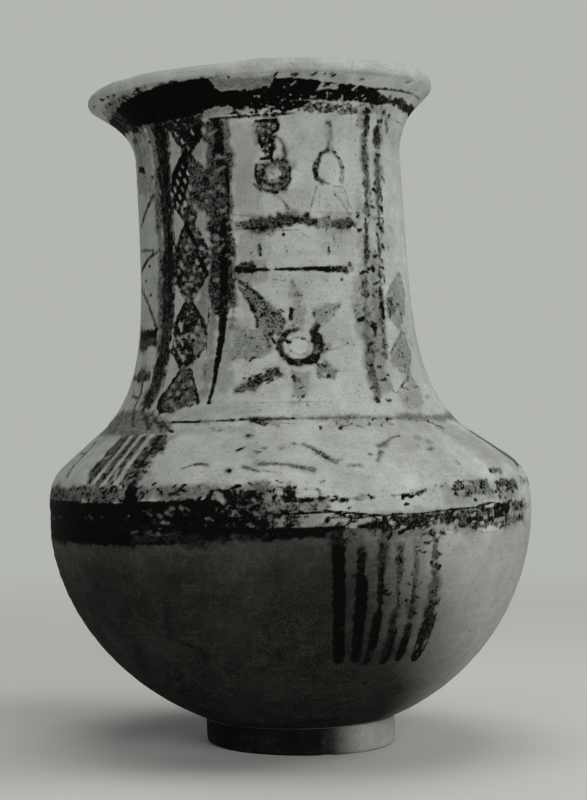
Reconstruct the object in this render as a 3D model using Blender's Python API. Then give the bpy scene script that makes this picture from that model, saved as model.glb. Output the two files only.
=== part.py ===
"""A painted pottery jar, built as a potter builds it: five thrown clay sections and the luting clay between.

The jar stands on the table at z = 0 and its belly is centred on the origin. +Z is up, and -Y is the side
with the painted jugs and the star. All sizes are in metres and all angles in degrees.
"""

import math

import bmesh
import bpy
from mathutils import Vector

# Foot ring
FOOT_RADIUS = 0.0372
FOOT_BAND = 0.0092
FOOT_EDGE = 0.0013
FOOT_BORE_DRAFT = 0.0012

# Bowl: its outside is the lower half of an ellipsoid, widest at the belly
UNDERSIDE_HEIGHT = 0.0034
BELLY_RADIUS = 0.0943
BOWL_DEPTH = 0.0888
BOWL_WALL = 0.0065
BOWL_FLOOR = 0.0080

# Shoulder: a short upright run above the belly, a round, then a cone up to the neck
BELLY_RISE = 0.0032
SHOULDER_HEIGHT = 0.0314
SHOULDER_ROUND = 0.0195
SHOULDER_WALL = 0.0060

# Neck: a cylinder that spreads at its foot
NECK_HEIGHT = 0.1128
NECK_RADIUS = 0.0519
NECK_SPREAD = 0.0182
NECK_SPREAD_LENGTH = 0.0177
NECK_WALL = 0.0055

# Rim: it curves outward, runs out straight and ends in a round lip
RIM_CURVE_BELOW_JOINT = 0.0080
RIM_CURVE_RADIUS = 0.0235
RIM_SPLAY = 51.0
RIM_OVERHANG = 0.0159
LIP_THICKNESS = 0.0058

# Luted joints: their faces rise inward, so that each section centres itself on the one below
LUTING = 0.0010
CLEARANCE = 0.0003
JOINT_RISE = 0.0030

# No section sits quite over the belly's middle. These are how far each stands off it along X
FOOT_OFFSET = 0.0048
NECK_FOOT_OFFSET = -0.0031
NECK_TOP_OFFSET = -0.0092
LIP_OFFSET = -0.0119

# No joint is quite level. These are the tilts, with the -X side down
FOOT_TILT = 1.0
BELLY_TILT = 2.5
NECK_FOOT_TILT = 1.1
NECK_TOP_TILT = 2.3
LIP_TILT = 3.4

# Faceting
SIDES = 48
BOWL_ROWS = 9
UNDERSIDE_ROWS = 3
SEAT_ROWS = 3
SHOULDER_ROUND_ROWS = 4
NECK_ROWS = 9
NECK_CROWDING = 1.6
RIM_ROWS = 4
LIP_ROWS = 6
SHARP_EDGE = 35.0
SAME_POINT = 0.00003

# Fired clay colours: linear red, green, blue
PALE_SLIP = (0.42, 0.44, 0.41)
BARE_CLAY = (0.085, 0.088, 0.080)
FOOT_CLAY = (0.16, 0.165, 0.155)
LUTING_CLAY = (0.20, 0.205, 0.19)
CLAY_ROUGHNESS = 0.85


def mix(a, b, share):
    """The value that lies a share of the way from a to b."""
    return a + (b - a) * share


def ease(value, low, high):
    """0 below low, 1 above high, and a smooth rise between."""
    share = min(max((value - low) / (high - low), 0.0), 1.0)
    return share * share * (3 - 2 * share)


def spaced(low, high, rows):
    """rows + 1 evenly spaced values, both ends included."""
    return [mix(low, high, i / rows) for i in range(rows + 1)]


def around(centre, radius, turn):
    """The point this far round a circle, with turn in radians from straight outward."""
    return centre + Vector((math.cos(turn), math.sin(turn))) * radius


def skin_under(radius):
    """The height of the bowl's round underside at this radius."""
    return BELLY_HEIGHT - BOWL_DEPTH * math.sqrt(1 - (radius / BELLY_RADIUS) ** 2)


# Heights that follow from the stack
BELLY_HEIGHT = UNDERSIDE_HEIGHT + BOWL_DEPTH
FOOT_HEIGHT = skin_under(FOOT_RADIUS)
NECK_JOINT = BELLY_HEIGHT + SHOULDER_HEIGHT
RIM_JOINT = NECK_JOINT + NECK_HEIGHT
RIM_CURVE_START = RIM_JOINT - RIM_CURVE_BELOW_JOINT
HALF_JOINT = LUTING / 2 + CLEARANCE

# Profile points are (radius, height). The shoulder's cone runs from the neck's foot down to the round
NECK_FOOT = Vector((NECK_RADIUS + NECK_SPREAD, NECK_JOINT))
ROUND_CENTRE = Vector((BELLY_RADIUS - SHOULDER_ROUND, BELLY_HEIGHT + BELLY_RISE))
CONE_WAY = NECK_FOOT - ROUND_CENTRE
ROUND_TURN = math.atan2(CONE_WAY.y, CONE_WAY.x) - math.acos(SHOULDER_ROUND / CONE_WAY.length)
ROUND_END = around(ROUND_CENTRE, SHOULDER_ROUND, ROUND_TURN)

# The rim's straight run, and the lip as a half circle on its end
SPLAY = math.radians(RIM_SPLAY)
RIM_WAY = Vector((math.sin(SPLAY), math.cos(SPLAY)))
RIM_NORMAL = Vector((math.cos(SPLAY), -math.sin(SPLAY)))
RIM_CURVE_CENTRE = Vector((NECK_RADIUS + RIM_CURVE_RADIUS, RIM_CURVE_START))
RIM_CURVE_END = around(RIM_CURVE_CENTRE, RIM_CURVE_RADIUS, math.pi - SPLAY)
RIM_RADIUS = NECK_RADIUS + RIM_OVERHANG
LIP_RADIUS = LIP_THICKNESS / 2
LIP_REACH = (RIM_RADIUS - LIP_RADIUS + LIP_RADIUS * RIM_NORMAL.x - RIM_CURVE_END.x) / RIM_WAY.x
LIP_START = RIM_CURVE_END + RIM_WAY * LIP_REACH
LIP_CENTRE = LIP_START - RIM_NORMAL * LIP_RADIUS

# Pairs of a height and a size, with a straight run from each to the next
OFFSETS = (
    (0.0, FOOT_OFFSET),
    (BELLY_HEIGHT, 0.0),
    (NECK_JOINT, NECK_FOOT_OFFSET),
    (RIM_JOINT, NECK_TOP_OFFSET),
    (LIP_CENTRE.y, LIP_OFFSET),
)
TILTS = (
    (0.0, 0.0),
    (FOOT_HEIGHT, FOOT_TILT),
    (BELLY_HEIGHT, BELLY_TILT),
    (NECK_JOINT, NECK_FOOT_TILT),
    (RIM_JOINT, NECK_TOP_TILT),
    (LIP_CENTRE.y, LIP_TILT),
)


def outer_radius(z):
    """The jar's outside radius at height z, from the belly to where the lip starts."""
    if z <= ROUND_CENTRE.y:
        return BELLY_RADIUS * math.sqrt(1 - (max(BELLY_HEIGHT - z, 0.0) / BOWL_DEPTH) ** 2)
    if z <= ROUND_END.y:
        return ROUND_CENTRE.x + math.sqrt(SHOULDER_ROUND**2 - (z - ROUND_CENTRE.y) ** 2)
    if z <= NECK_JOINT:
        return mix(ROUND_END.x, NECK_FOOT.x, (z - ROUND_END.y) / (NECK_JOINT - ROUND_END.y))
    spread = NECK_SPREAD * math.exp((NECK_JOINT - z) / NECK_SPREAD_LENGTH)
    if z <= RIM_CURVE_START:
        return NECK_RADIUS + spread
    if z <= RIM_CURVE_END.y:
        return spread + RIM_CURVE_CENTRE.x - math.sqrt(RIM_CURVE_RADIUS**2 - (z - RIM_CURVE_START) ** 2)
    return spread + RIM_CURVE_END.x + (z - RIM_CURVE_END.y) * math.tan(SPLAY)


def wall(z):
    """The wall's thickness at height z, from the belly up."""
    neck_middle = mix(NECK_JOINT, RIM_JOINT, 0.5)
    if z <= NECK_JOINT:
        return mix(BOWL_WALL, SHOULDER_WALL, ease(z, BELLY_HEIGHT, NECK_JOINT))
    if z <= neck_middle:
        return mix(SHOULDER_WALL, NECK_WALL, ease(z, NECK_JOINT, neck_middle))
    return mix(NECK_WALL, LIP_THICKNESS, ease(z, RIM_CURVE_START, LIP_START.y))


def skin(z):
    """The point of the profile on the jar's outside at height z."""
    return Vector((outer_radius(z), z))


def lining(z):
    """The point of the profile straight through the wall from skin(z), on the jar's inside."""
    way = (skin(z + SAME_POINT) - skin(z - SAME_POINT)).normalized()
    return skin(z) - Vector((way.y, -way.x)) * wall(z)


def bowl_skin(angle):
    """The bowl's outside, angle degrees round from its lowest point."""
    turn = math.radians(angle)
    return Vector((BELLY_RADIUS * math.sin(turn), BELLY_HEIGHT - BOWL_DEPTH * math.cos(turn)))


def bowl_lining(angle):
    """The bowl's inside, angle degrees round from its lowest point."""
    turn = math.radians(angle)
    radius = (BELLY_RADIUS - BOWL_WALL) * math.sin(turn)
    return Vector((radius, BELLY_HEIGHT - (BOWL_DEPTH - BOWL_FLOOR) * math.cos(turn)))


def read(pairs, z):
    """The size at height z, from pairs of a height and a size."""
    for (low, first), (high, last) in zip(pairs, pairs[1:]):
        if z <= high:
            return mix(first, last, (z - low) / (high - low))
    return pairs[-1][1]


def settle(point):
    """Moves a point of a true turned jar to where it stands on the real one, which leans and isn't level."""
    tilt = math.radians(read(TILTS, point.z))
    across = point.x
    return Vector((
        read(OFFSETS, point.z) + across * math.cos(tilt),
        point.y,
        point.z + across * math.sin(tilt),
    ))


def clay(name, colour):
    """A matt fired clay."""
    made = bpy.data.materials.new(name)
    made.use_nodes = True
    shader = made.node_tree.nodes["Principled BSDF"]
    shader.inputs["Base Color"].default_value = (*colour, 1.0)
    shader.inputs["Roughness"].default_value = CLAY_ROUGHNESS
    shader.inputs["Metallic"].default_value = 0.0
    return made


def turned(name, profile, material, jar):
    """A section: an outline, closed or open at the axis, turned round the Z axis and settled on the jar."""
    mesh = bpy.data.meshes.new(name)
    form = bmesh.new()
    verts = [form.verts.new((point.x, 0.0, point.y)) for point in profile]
    pairs = list(zip(verts, verts[1:]))
    if profile[0].x > SAME_POINT:
        pairs.append((verts[-1], verts[0]))
    edges = [form.edges.new(pair) for pair in pairs]
    bmesh.ops.spin(
        form,
        geom=verts + edges,
        cent=(0, 0, 0),
        axis=(0, 0, 1),
        dvec=(0, 0, 0),
        angle=math.tau,
        steps=SIDES,
        use_merge=True,
        use_duplicate=False,
    )
    bmesh.ops.remove_doubles(form, verts=form.verts, dist=SAME_POINT)
    bmesh.ops.recalc_face_normals(form, faces=form.faces)
    for vert in form.verts:
        vert.co = settle(vert.co)
    form.to_mesh(mesh)
    form.free()
    mesh.materials.append(material)
    mesh.shade_smooth()
    mesh.set_sharp_from_angle(angle=math.radians(SHARP_EDGE))
    section = bpy.data.objects.new(name, mesh)
    bpy.context.scene.collection.objects.link(section)
    section.parent = jar


def between_joints(heights):
    """The closed outline of a wall: up the outside at these heights, then down the inside."""
    low, high = heights[0] + JOINT_RISE, heights[-1] + JOINT_RISE
    inside = [low, *(z for z in heights[1:-1] if low < z < high), high]
    return [skin(z) for z in heights] + [lining(z) for z in reversed(inside)]


def make_foot_ring(material, jar):
    """The ring foot. Its top is hollowed to the bowl's round underside."""
    bore = FOOT_RADIUS - FOOT_BAND
    drop = LUTING + 2 * CLEARANCE
    sole = [Vector((bore, 0.0)), Vector((FOOT_RADIUS - FOOT_EDGE, 0.0)), Vector((FOOT_RADIUS, FOOT_EDGE))]
    radii = spaced(FOOT_RADIUS, bore - FOOT_BORE_DRAFT, SEAT_ROWS)
    seat = [Vector((radius, skin_under(radius) - drop)) for radius in radii]
    turned("foot_ring", sole + seat, material, jar)


def make_foot_luting(material, jar):
    """The luting clay between the foot ring and the bowl."""
    radii = spaced(FOOT_RADIUS - FOOT_BAND - FOOT_BORE_DRAFT, FOOT_RADIUS, SEAT_ROWS)
    under = [Vector((radius, skin_under(radius) - CLEARANCE - LUTING)) for radius in radii]
    over = [Vector((radius, skin_under(radius) - CLEARANCE)) for radius in reversed(radii)]
    turned("foot_luting", under + over, material, jar)


def make_bowl(material, jar):
    """The lower body, from its closed round bottom to the belly."""
    waist = math.degrees(math.asin(FOOT_RADIUS / BELLY_RADIUS))
    under = [bowl_skin(angle) for angle in spaced(0.0, waist, UNDERSIDE_ROWS)]
    side = [bowl_skin(angle) for angle in spaced(waist, 90.0, BOWL_ROWS)[1:-1]]
    edge = [skin(BELLY_HEIGHT - HALF_JOINT), lining(BELLY_HEIGHT - HALF_JOINT + JOINT_RISE)]
    inside = [bowl_lining(angle) for angle in spaced(90.0, 0.0, BOWL_ROWS + UNDERSIDE_ROWS)]
    turned("bowl", under + side + edge + inside, material, jar)


def make_shoulder(material, jar):
    """The upper body, from the belly to the foot of the neck."""
    turns = spaced(0.0, ROUND_TURN, SHOULDER_ROUND_ROWS)
    corner = [ROUND_CENTRE.y + SHOULDER_ROUND * math.sin(turn) for turn in turns]
    middle = mix(ROUND_END.y, NECK_JOINT, 0.5)
    heights = [BELLY_HEIGHT + HALF_JOINT, *corner, middle, NECK_JOINT - HALF_JOINT]
    turned("shoulder", between_joints(heights), material, jar)


def make_neck(material, jar):
    """The neck. Its rows crowd towards its foot, where it spreads."""
    low = NECK_JOINT + HALF_JOINT
    shares = [(i / NECK_ROWS) ** NECK_CROWDING for i in range(NECK_ROWS + 1)]
    heights = [mix(low, RIM_CURVE_START, share) for share in shares] + [RIM_JOINT - HALF_JOINT]
    turned("neck", between_joints(heights), material, jar)


def make_rim(material, jar):
    """The splayed rim and its round lip."""
    low = RIM_JOINT + HALF_JOINT
    turns = spaced(math.asin((low - RIM_CURVE_START) / RIM_CURVE_RADIUS), SPLAY, RIM_ROWS)
    heights = [RIM_CURVE_START + RIM_CURVE_RADIUS * math.sin(turn) for turn in turns]
    inside = [low + JOINT_RISE, *(z for z in heights if z > low + JOINT_RISE)]
    start = math.atan2(RIM_NORMAL.y, RIM_NORMAL.x)
    lip = [around(LIP_CENTRE, LIP_RADIUS, turn) for turn in spaced(start, start + math.pi, LIP_ROWS)]
    profile = [skin(z) for z in heights] + lip + [lining(z) for z in reversed(inside)]
    turned("rim", profile, material, jar)


def make_luting(name, height, material, jar):
    """The ring of luting clay in the joint at this height, flush with the wall on both sides."""
    turned(name, between_joints([height - LUTING / 2, height + LUTING / 2]), material, jar)


def main():
    for thing in list(bpy.data.objects):
        bpy.data.objects.remove(thing)
    jar = bpy.data.objects.new("jar", None)
    bpy.context.scene.collection.objects.link(jar)
    luting = clay("luting_clay", LUTING_CLAY)
    make_foot_ring(clay("foot_clay", FOOT_CLAY), jar)
    make_foot_luting(luting, jar)
    make_bowl(clay("bowl_clay", BARE_CLAY), jar)
    make_luting("belly_luting", BELLY_HEIGHT, luting, jar)
    make_shoulder(clay("shoulder_slip", PALE_SLIP), jar)
    make_luting("neck_luting", NECK_JOINT, luting, jar)
    make_neck(clay("neck_slip", PALE_SLIP), jar)
    make_luting("rim_luting", RIM_JOINT, luting, jar)
    make_rim(clay("rim_slip", PALE_SLIP), jar)


main()
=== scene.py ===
# %% [markdown]
# This lesson dresses a imported CAD model of a painted pottery jar. The real jar is low-fired earthenware,
# thrown on a wheel in sections and luted together with wet clay. A pale slip covers its neck and shoulder,
# dark paint is brushed over the slip, and the bowl is bare clay, blackened by smoke and by painted shade,
# with a pale side at the right that is painted light.
# The frame comes first, because every visible piece stands where the imported solids say.

# %% Load the frame
import math

import bpy
import numpy as np
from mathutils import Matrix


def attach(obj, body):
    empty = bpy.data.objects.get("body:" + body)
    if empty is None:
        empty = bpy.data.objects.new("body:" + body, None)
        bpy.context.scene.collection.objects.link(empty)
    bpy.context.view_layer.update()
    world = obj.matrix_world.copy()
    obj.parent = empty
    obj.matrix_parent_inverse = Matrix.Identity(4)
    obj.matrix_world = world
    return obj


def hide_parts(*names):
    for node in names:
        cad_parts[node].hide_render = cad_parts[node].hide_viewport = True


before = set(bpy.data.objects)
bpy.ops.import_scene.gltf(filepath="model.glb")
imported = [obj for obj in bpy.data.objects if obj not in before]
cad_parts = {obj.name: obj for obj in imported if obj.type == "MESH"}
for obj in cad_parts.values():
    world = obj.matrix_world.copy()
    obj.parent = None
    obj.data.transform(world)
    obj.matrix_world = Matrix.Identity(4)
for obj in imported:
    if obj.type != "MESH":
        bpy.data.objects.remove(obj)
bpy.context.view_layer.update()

print("CAD nodes:", ", ".join(sorted(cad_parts)))

# %% [markdown]
# A thrown pot is one outline turned round an axis, so its shape is a few real sizes. They are the sizes
# of the solids, in millimetres here because a potter thinks in them. The bowl is half an ellipsoid, the
# shoulder a round and a cone, the neck a cylinder that spreads at its foot, and the rim a curve outward.

# %% Sizes of the jar, in millimetres and degrees
MM = 0.001
FOOT_RADIUS = 37.2
FOOT_BAND = 9.2
FOOT_EDGE = 1.3
FOOT_BORE_DRAFT = 1.2
UNDERSIDE_HEIGHT = 3.4
BELLY_RADIUS = 94.3
BOWL_DEPTH = 88.8
BOWL_WALL = 6.5
BOWL_FLOOR = 8.0
BELLY_RISE = 3.2
SHOULDER_ROUND = 19.5
SHOULDER_WALL = 6.0
NECK_RADIUS = 51.9
NECK_SPREAD = 18.2
NECK_SPREAD_LENGTH = 17.7
NECK_WALL = 5.5
RIM_CURVE_BELOW_JOINT = 8.0
RIM_CURVE_RADIUS = 23.5
RIM_SPLAY = math.radians(51.0)
RIM_OVERHANG = 15.9
LIP_THICKNESS = 5.8
HALF_JOINT = 0.8
JOINT_RISE = 3.0

BELLY = UNDERSIDE_HEIGHT + BOWL_DEPTH
NECK_FOOT = BELLY + 31.4
RIM_FOOT = NECK_FOOT + 112.8
CURVE_START = RIM_FOOT - RIM_CURVE_BELOW_JOINT
print("joints at", BELLY, NECK_FOOT, RIM_FOOT, "mm")

# %% [markdown]
# The outline could be drawn by hand as a curve, but a formula keeps it equal to the solids at any
# fineness. Each stretch gives points of radius and height, and they are joined into one long line whose
# running length tells where a brush mark lies on the surface.


# %% The outline of the outside
def arc_points(centre, radius, first, last, count):
    """Points on a circle between two turns, in radians from straight outward."""
    turn = np.linspace(first, last, count)
    return centre[0] + radius * np.cos(turn), centre[1] + radius * np.sin(turn)


round_centre = np.array([BELLY_RADIUS - SHOULDER_ROUND, BELLY + BELLY_RISE])
cone_way = np.array([NECK_RADIUS + NECK_SPREAD, NECK_FOOT]) - round_centre
round_turn = math.atan2(cone_way[1], cone_way[0]) - math.acos(SHOULDER_ROUND / math.hypot(*cone_way))
rim_way = np.array([math.sin(RIM_SPLAY), math.cos(RIM_SPLAY)])
rim_normal = np.array([math.cos(RIM_SPLAY), -math.sin(RIM_SPLAY)])
curve_centre = np.array([NECK_RADIUS + RIM_CURVE_RADIUS, CURVE_START])
curve_end = curve_centre + RIM_CURVE_RADIUS * np.array([-math.cos(RIM_SPLAY), math.sin(RIM_SPLAY)])
lip_radius = LIP_THICKNESS / 2
lip_edge = NECK_RADIUS + RIM_OVERHANG - lip_radius + lip_radius * rim_normal[0]
lip_start = curve_end + rim_way * (lip_edge - curve_end[0]) / rim_way[0]
lip_centre = lip_start - rim_normal * lip_radius

turn = np.linspace(0, math.pi / 2, 400)
round_r, round_z = arc_points(round_centre, SHOULDER_ROUND, 0, round_turn, 90)
cone_z = np.linspace(round_z[-1], NECK_FOOT, 60)
neck_z = np.linspace(NECK_FOOT, CURVE_START, 400)
curve_r, curve_z = arc_points(curve_centre, RIM_CURVE_RADIUS, math.pi, math.pi - RIM_SPLAY, 90)
out_z = np.concatenate((
    BELLY - BOWL_DEPTH * np.cos(turn),
    round_z, cone_z[1:], neck_z[1:], curve_z[1:],
    np.linspace(curve_end[1], lip_start[1], 40)[1:],
))
out_r = np.concatenate((
    BELLY_RADIUS * np.sin(turn),
    round_r,
    np.linspace(round_r[-1], NECK_RADIUS + NECK_SPREAD, 60)[1:],
    NECK_RADIUS + NECK_SPREAD * np.exp((NECK_FOOT - neck_z[1:]) / NECK_SPREAD_LENGTH),
    curve_r[1:],
    np.linspace(curve_end[0], lip_start[0], 40)[1:],
))
out_arc = np.concatenate(([0.0], np.cumsum(np.hypot(np.diff(out_r), np.diff(out_z)))))
print("outline", round(out_arc[-1], 1), "mm long, lip top", round(lip_centre[1] + lip_radius, 1))


# %% The wall's thickness and the inside
def ease(value, low, high):
    """0 below low, 1 above high, and a smooth rise between."""
    share = np.clip((value - low) / (high - low), 0, 1)
    return share * share * (3 - 2 * share)


def wall(z):
    """The wall's thickness at a height, from the belly up."""
    middle = (NECK_FOOT + RIM_FOOT) / 2
    lower = BOWL_WALL + (SHOULDER_WALL - BOWL_WALL) * ease(z, BELLY, NECK_FOOT)
    upper = NECK_WALL + (SHOULDER_WALL - NECK_WALL) * (1 - ease(z, NECK_FOOT, middle))
    upper = upper + (LIP_THICKNESS - NECK_WALL) * ease(z, CURVE_START, lip_start[1])
    return np.where(z < NECK_FOOT, lower, upper)


way_r, way_z = np.gradient(out_r, out_arc), np.gradient(out_z, out_arc)
in_r = out_r - way_z / np.hypot(way_r, way_z) * wall(out_z)
in_z = out_z + way_r / np.hypot(way_r, way_z) * wall(out_z)


def stretch(radius, height, step):
    """The same line with points a step apart."""
    length = np.concatenate(([0.0], np.cumsum(np.hypot(np.diff(radius), np.diff(height)))))
    at = np.linspace(0, length[-1], max(2, round(length[-1] / step) + 1))
    return np.interp(at, length, radius), np.interp(at, length, height)


def between(radius, height, low, high, step):
    """The part of a line whose outside height runs from low to high, with points a step apart."""
    at = np.concatenate(([low], out_z[(out_z > low) & (out_z < high)], [high]))
    return stretch(np.interp(at, out_z, radius), np.interp(at, out_z, height), step)


print("wall at the neck", round(float(wall(np.array(190.0))), 2), "mm")

# %% [markdown]
# No hand-made jar is true. Each section stands a little off the one below and none is quite level, and
# the fingers leave rings and slow waves in the wall. The lean comes from the solids, and the rings and
# waves are a few cosines, a tenth to a third of a millimetre high, so they keep close to the solids.

# %% Lean, tilt and unevenness
OFFSETS = ((0, BELLY, NECK_FOOT, RIM_FOOT, lip_centre[1]), (4.8, 0.0, -3.1, -9.2, -11.9))
foot_height = BELLY - BOWL_DEPTH * math.sqrt(1 - (FOOT_RADIUS / BELLY_RADIUS) ** 2)
TILTS = (
    (0, foot_height, BELLY, NECK_FOOT, RIM_FOOT, lip_centre[1]),
    (0.0, 1.0, 2.5, 1.1, 2.3, 3.4),
)


def settle(radius, height, angle):
    """Points in space, in mm. Angle 0 is the front of the jar, at -Y, and it grows towards +X."""
    turn = np.radians(angle)
    across = radius * np.sin(turn)
    tilt = np.radians(np.interp(height, *TILTS))
    x = np.interp(height, *OFFSETS) + across * np.cos(tilt)
    return np.stack((x, -radius * np.cos(turn), height + across * np.sin(tilt)), axis=-1)


def unevenness(height, angle):
    """How far the wall stands off the true shape, in mm. The wheel rings climb as the fingers did."""
    turn = np.radians(angle)
    slow = 0.20 * np.cos(2 * turn + 0.8 + height / 60) + 0.13 * np.cos(3 * turn - 1.1 - height / 45)
    slow = slow + 0.07 * np.cos(5 * turn + 2.0 + height / 23) + 0.05 * np.cos(9 * turn + height / 17)
    # the belly was pressed in a little at the left
    slow = slow - 0.8 * ease(-np.sin(turn), 0.75, 1.0) * np.exp(-(((height - 96) / 9) ** 2))
    rings = 0.06 * np.sin(height / 1.15 + turn + 0.8 * np.sin(turn))
    rings = rings + 0.05 * np.sin(height / 0.62 - 2 * turn)
    return slow + rings * (0.6 + 0.4 * np.cos(turn - 1 + height / 31))


print("unevenness at the front of the belly", round(float(unevenness(BELLY, 0.0)), 2), "mm")

# %% [markdown]
# The painting is not a picture laid over the jar. Each brush stroke is written down as the painter made
# it: a few points in degrees round the jar and millimetres of height, a width, and how much paint the
# brush still held. The load of paint is kept at each point of the mesh, and the material turns a full
# load into solid black and a thin one into the speckle that is left when worn paint clings to grit.

# %% Brushes that lay paint on the surface
FULL_BRUSH = 0.8  # the load from which an edge is crisp
BROAD = 4.5  # the width in mm from which a stroke wavers in full


def degrees_between(angle, start):
    """The shortest way round from start to angle."""
    return (angle - start + 180) % 360 - 180


def ripples(across, up, shortest, longest, count, seed):
    """A smooth chance field over the surface, mostly between -1 and 1, from waves of these lengths in mm."""
    chance = np.random.default_rng(seed)
    ways = chance.uniform(0, math.pi, count)
    starts = chance.uniform(0, math.tau, count)
    total = np.zeros_like(across)
    for length, way, start in zip(np.geomspace(shortest, longest, count), ways, starts):
        total += np.cos(math.tau / length * (across * math.cos(way) + up * math.sin(way)) + start)
    return total / math.sqrt(count / 2)


def lay(canvas, layer, near, gap, load, thin=1.0):
    """Adds paint where gap, the distance outside the mark, is small. A negative load lifts paint off.

    A thin mark wavers less than a broad one."""
    if layer == "wash":
        soft, wander, drift = 1.5, 0.5, 0.9
    elif abs(load) > FULL_BRUSH:
        soft, wander, drift = 0.42, 0.2, 0.0
    else:
        soft, wander, drift = 0.55, 0.35, 0.35
    soft = soft * (0.6 + 0.4 * thin)
    gap = gap + thin * (wander * canvas["wander"][near] + drift * canvas["drift"][near])
    cover = np.clip(0.5 - gap / (2 * soft), 0, 1)
    old = canvas[layer][near]
    if load < 0:
        canvas[layer][near] = old * (1 + load * cover)
    else:
        canvas[layer][near] = np.maximum(old, cover * load)


def close_to(canvas, marks, margin):
    """Which points of the canvas lie near these marks."""
    middle = (marks[:, 0].max() + marks[:, 0].min()) / 2
    half = (marks[:, 0].max() - marks[:, 0].min()) / 2
    round_ok = np.abs(degrees_between(canvas["angle"], middle)) < half + margin
    low, high = marks[:, 1].min() - margin, marks[:, 1].max() + margin
    return np.flatnonzero(round_ok & (canvas["height"] > low) & (canvas["height"] < high))


def stroke(canvas, layer, points, width, load=1.0):
    """One pull of the brush through points of (degrees, height). One point alone makes a dot."""
    marks = np.array(points if len(points) > 1 else (points[0], points[0]), float)
    widths = np.interp(
        np.linspace(0, 1, len(marks)), np.linspace(0, 1, np.size(width)), np.atleast_1d(width)
    )
    near = close_to(canvas, marks, widths.max() + 3)
    if not len(near):
        return
    scale = np.radians(canvas["radius"][near])
    arcs = np.interp(marks[:, 1], out_z, out_arc)
    gap = np.full(len(near), 1e9)
    for i in range(len(marks) - 1):
        across = degrees_between(canvas["angle"][near], marks[i, 0]) * scale
        up = canvas["arc"][near] - arcs[i]
        way_x = (marks[i + 1, 0] - marks[i, 0]) * scale
        way_y = arcs[i + 1] - arcs[i]
        along = np.clip((across * way_x + up * way_y) / (way_x**2 + way_y**2 + 1e-9), 0, 1)
        half = (widths[i] + (widths[i + 1] - widths[i]) * along) / 2
        gap = np.minimum(gap, np.hypot(across - along * way_x, up - along * way_y) - half)
    lay(canvas, layer, near, gap, load, min(1.0, widths.mean() / BROAD))


def area(canvas, layer, points, load=1.0):
    """A filled shape with corners of (degrees, height)."""
    marks = np.array(points, float)
    near = close_to(canvas, marks, 4)
    if not len(near):
        return
    first = marks[0, 0]
    angle = degrees_between(canvas["angle"][near], first)
    scale = np.radians(canvas["radius"][near])
    arcs = np.interp(marks[:, 1], out_z, out_arc)
    inside = np.zeros(len(near), bool)
    gap = np.full(len(near), 1e9)
    for i in range(len(marks)):
        j = (i + 1) % len(marks)
        ax, bx = marks[i, 0] - first, marks[j, 0] - first
        ay, by = arcs[i], arcs[j]
        up = canvas["arc"][near]
        if ay != by:
            crosses = (ay > up) != (by > up)
            inside ^= crosses & (angle < (bx - ax) * (up - ay) / (by - ay) + ax)
        across, way_x = (angle - ax) * scale, (bx - ax) * scale
        along = np.clip((across * way_x + (up - ay) * (by - ay)) / (way_x**2 + (by - ay) ** 2 + 1e-9), 0, 1)
        gap = np.minimum(gap, np.hypot(across - along * way_x, up - ay - along * (by - ay)))
    lay(canvas, layer, near, np.where(inside, -gap, gap), load)


def box(canvas, layer, left, right, low, high, load=1.0):
    """A filled patch between two angles and two heights."""
    area(canvas, layer, ((left, low), (right, low), (right, high), (left, high)), load)


def strokes(canvas, pulls):
    """Several pulls of thick paint, each with its points, its width and its load."""
    for points, width, load in pulls:
        stroke(canvas, "paint", points, width, load)


def stain(canvas, points, paint, wash):
    """A filled shape of thick paint, and the thin wash that it has left in the ground."""
    area(canvas, "paint", points, paint)
    area(canvas, "wash", points, wash)


def oval(centre, across, up):
    """Corners of an oval, with half its width in degrees and half its height in mm."""
    turns = [math.tau * i / 20 for i in range(21)]
    return [(centre[0] + across * math.cos(t), centre[1] + up * math.sin(t)) for t in turns]


FLAKE_AREA = 2.6  # square mm, about the mean


def crumble(canvas, left, right, low, high, share, loads, seed):
    """Scatters small marks, longer across than up, until they cover about this share of a patch."""
    chance = np.random.default_rng(seed)
    radius = float(np.interp((low + high) / 2, out_z, out_r))
    count = round(share * math.radians(right - left) * radius * (high - low) / FLAKE_AREA)
    for _ in range(count):
        a, h = chance.uniform(left, right), chance.uniform(low, high)
        reach = math.degrees(chance.uniform(0.1, 1.4) / radius)
        rise, bend = chance.uniform(-0.5, 0.5, 2)
        width = chance.uniform(0.7, 1.7)
        points = ((a - reach, h - rise), (a, h + bend), (a + reach, h + rise))
        stroke(canvas, "paint", points, (width, width * 0.7), chance.uniform(*loads))


print("brushes ready: stroke, strokes, area, box, stain, oval and crumble")

# %% [markdown]
# The dark band under the lip ties all the panels together. It was laid on the turning wheel, so its
# edges are nearly level, and it has worn to grey where hands took hold of the rim.


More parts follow.
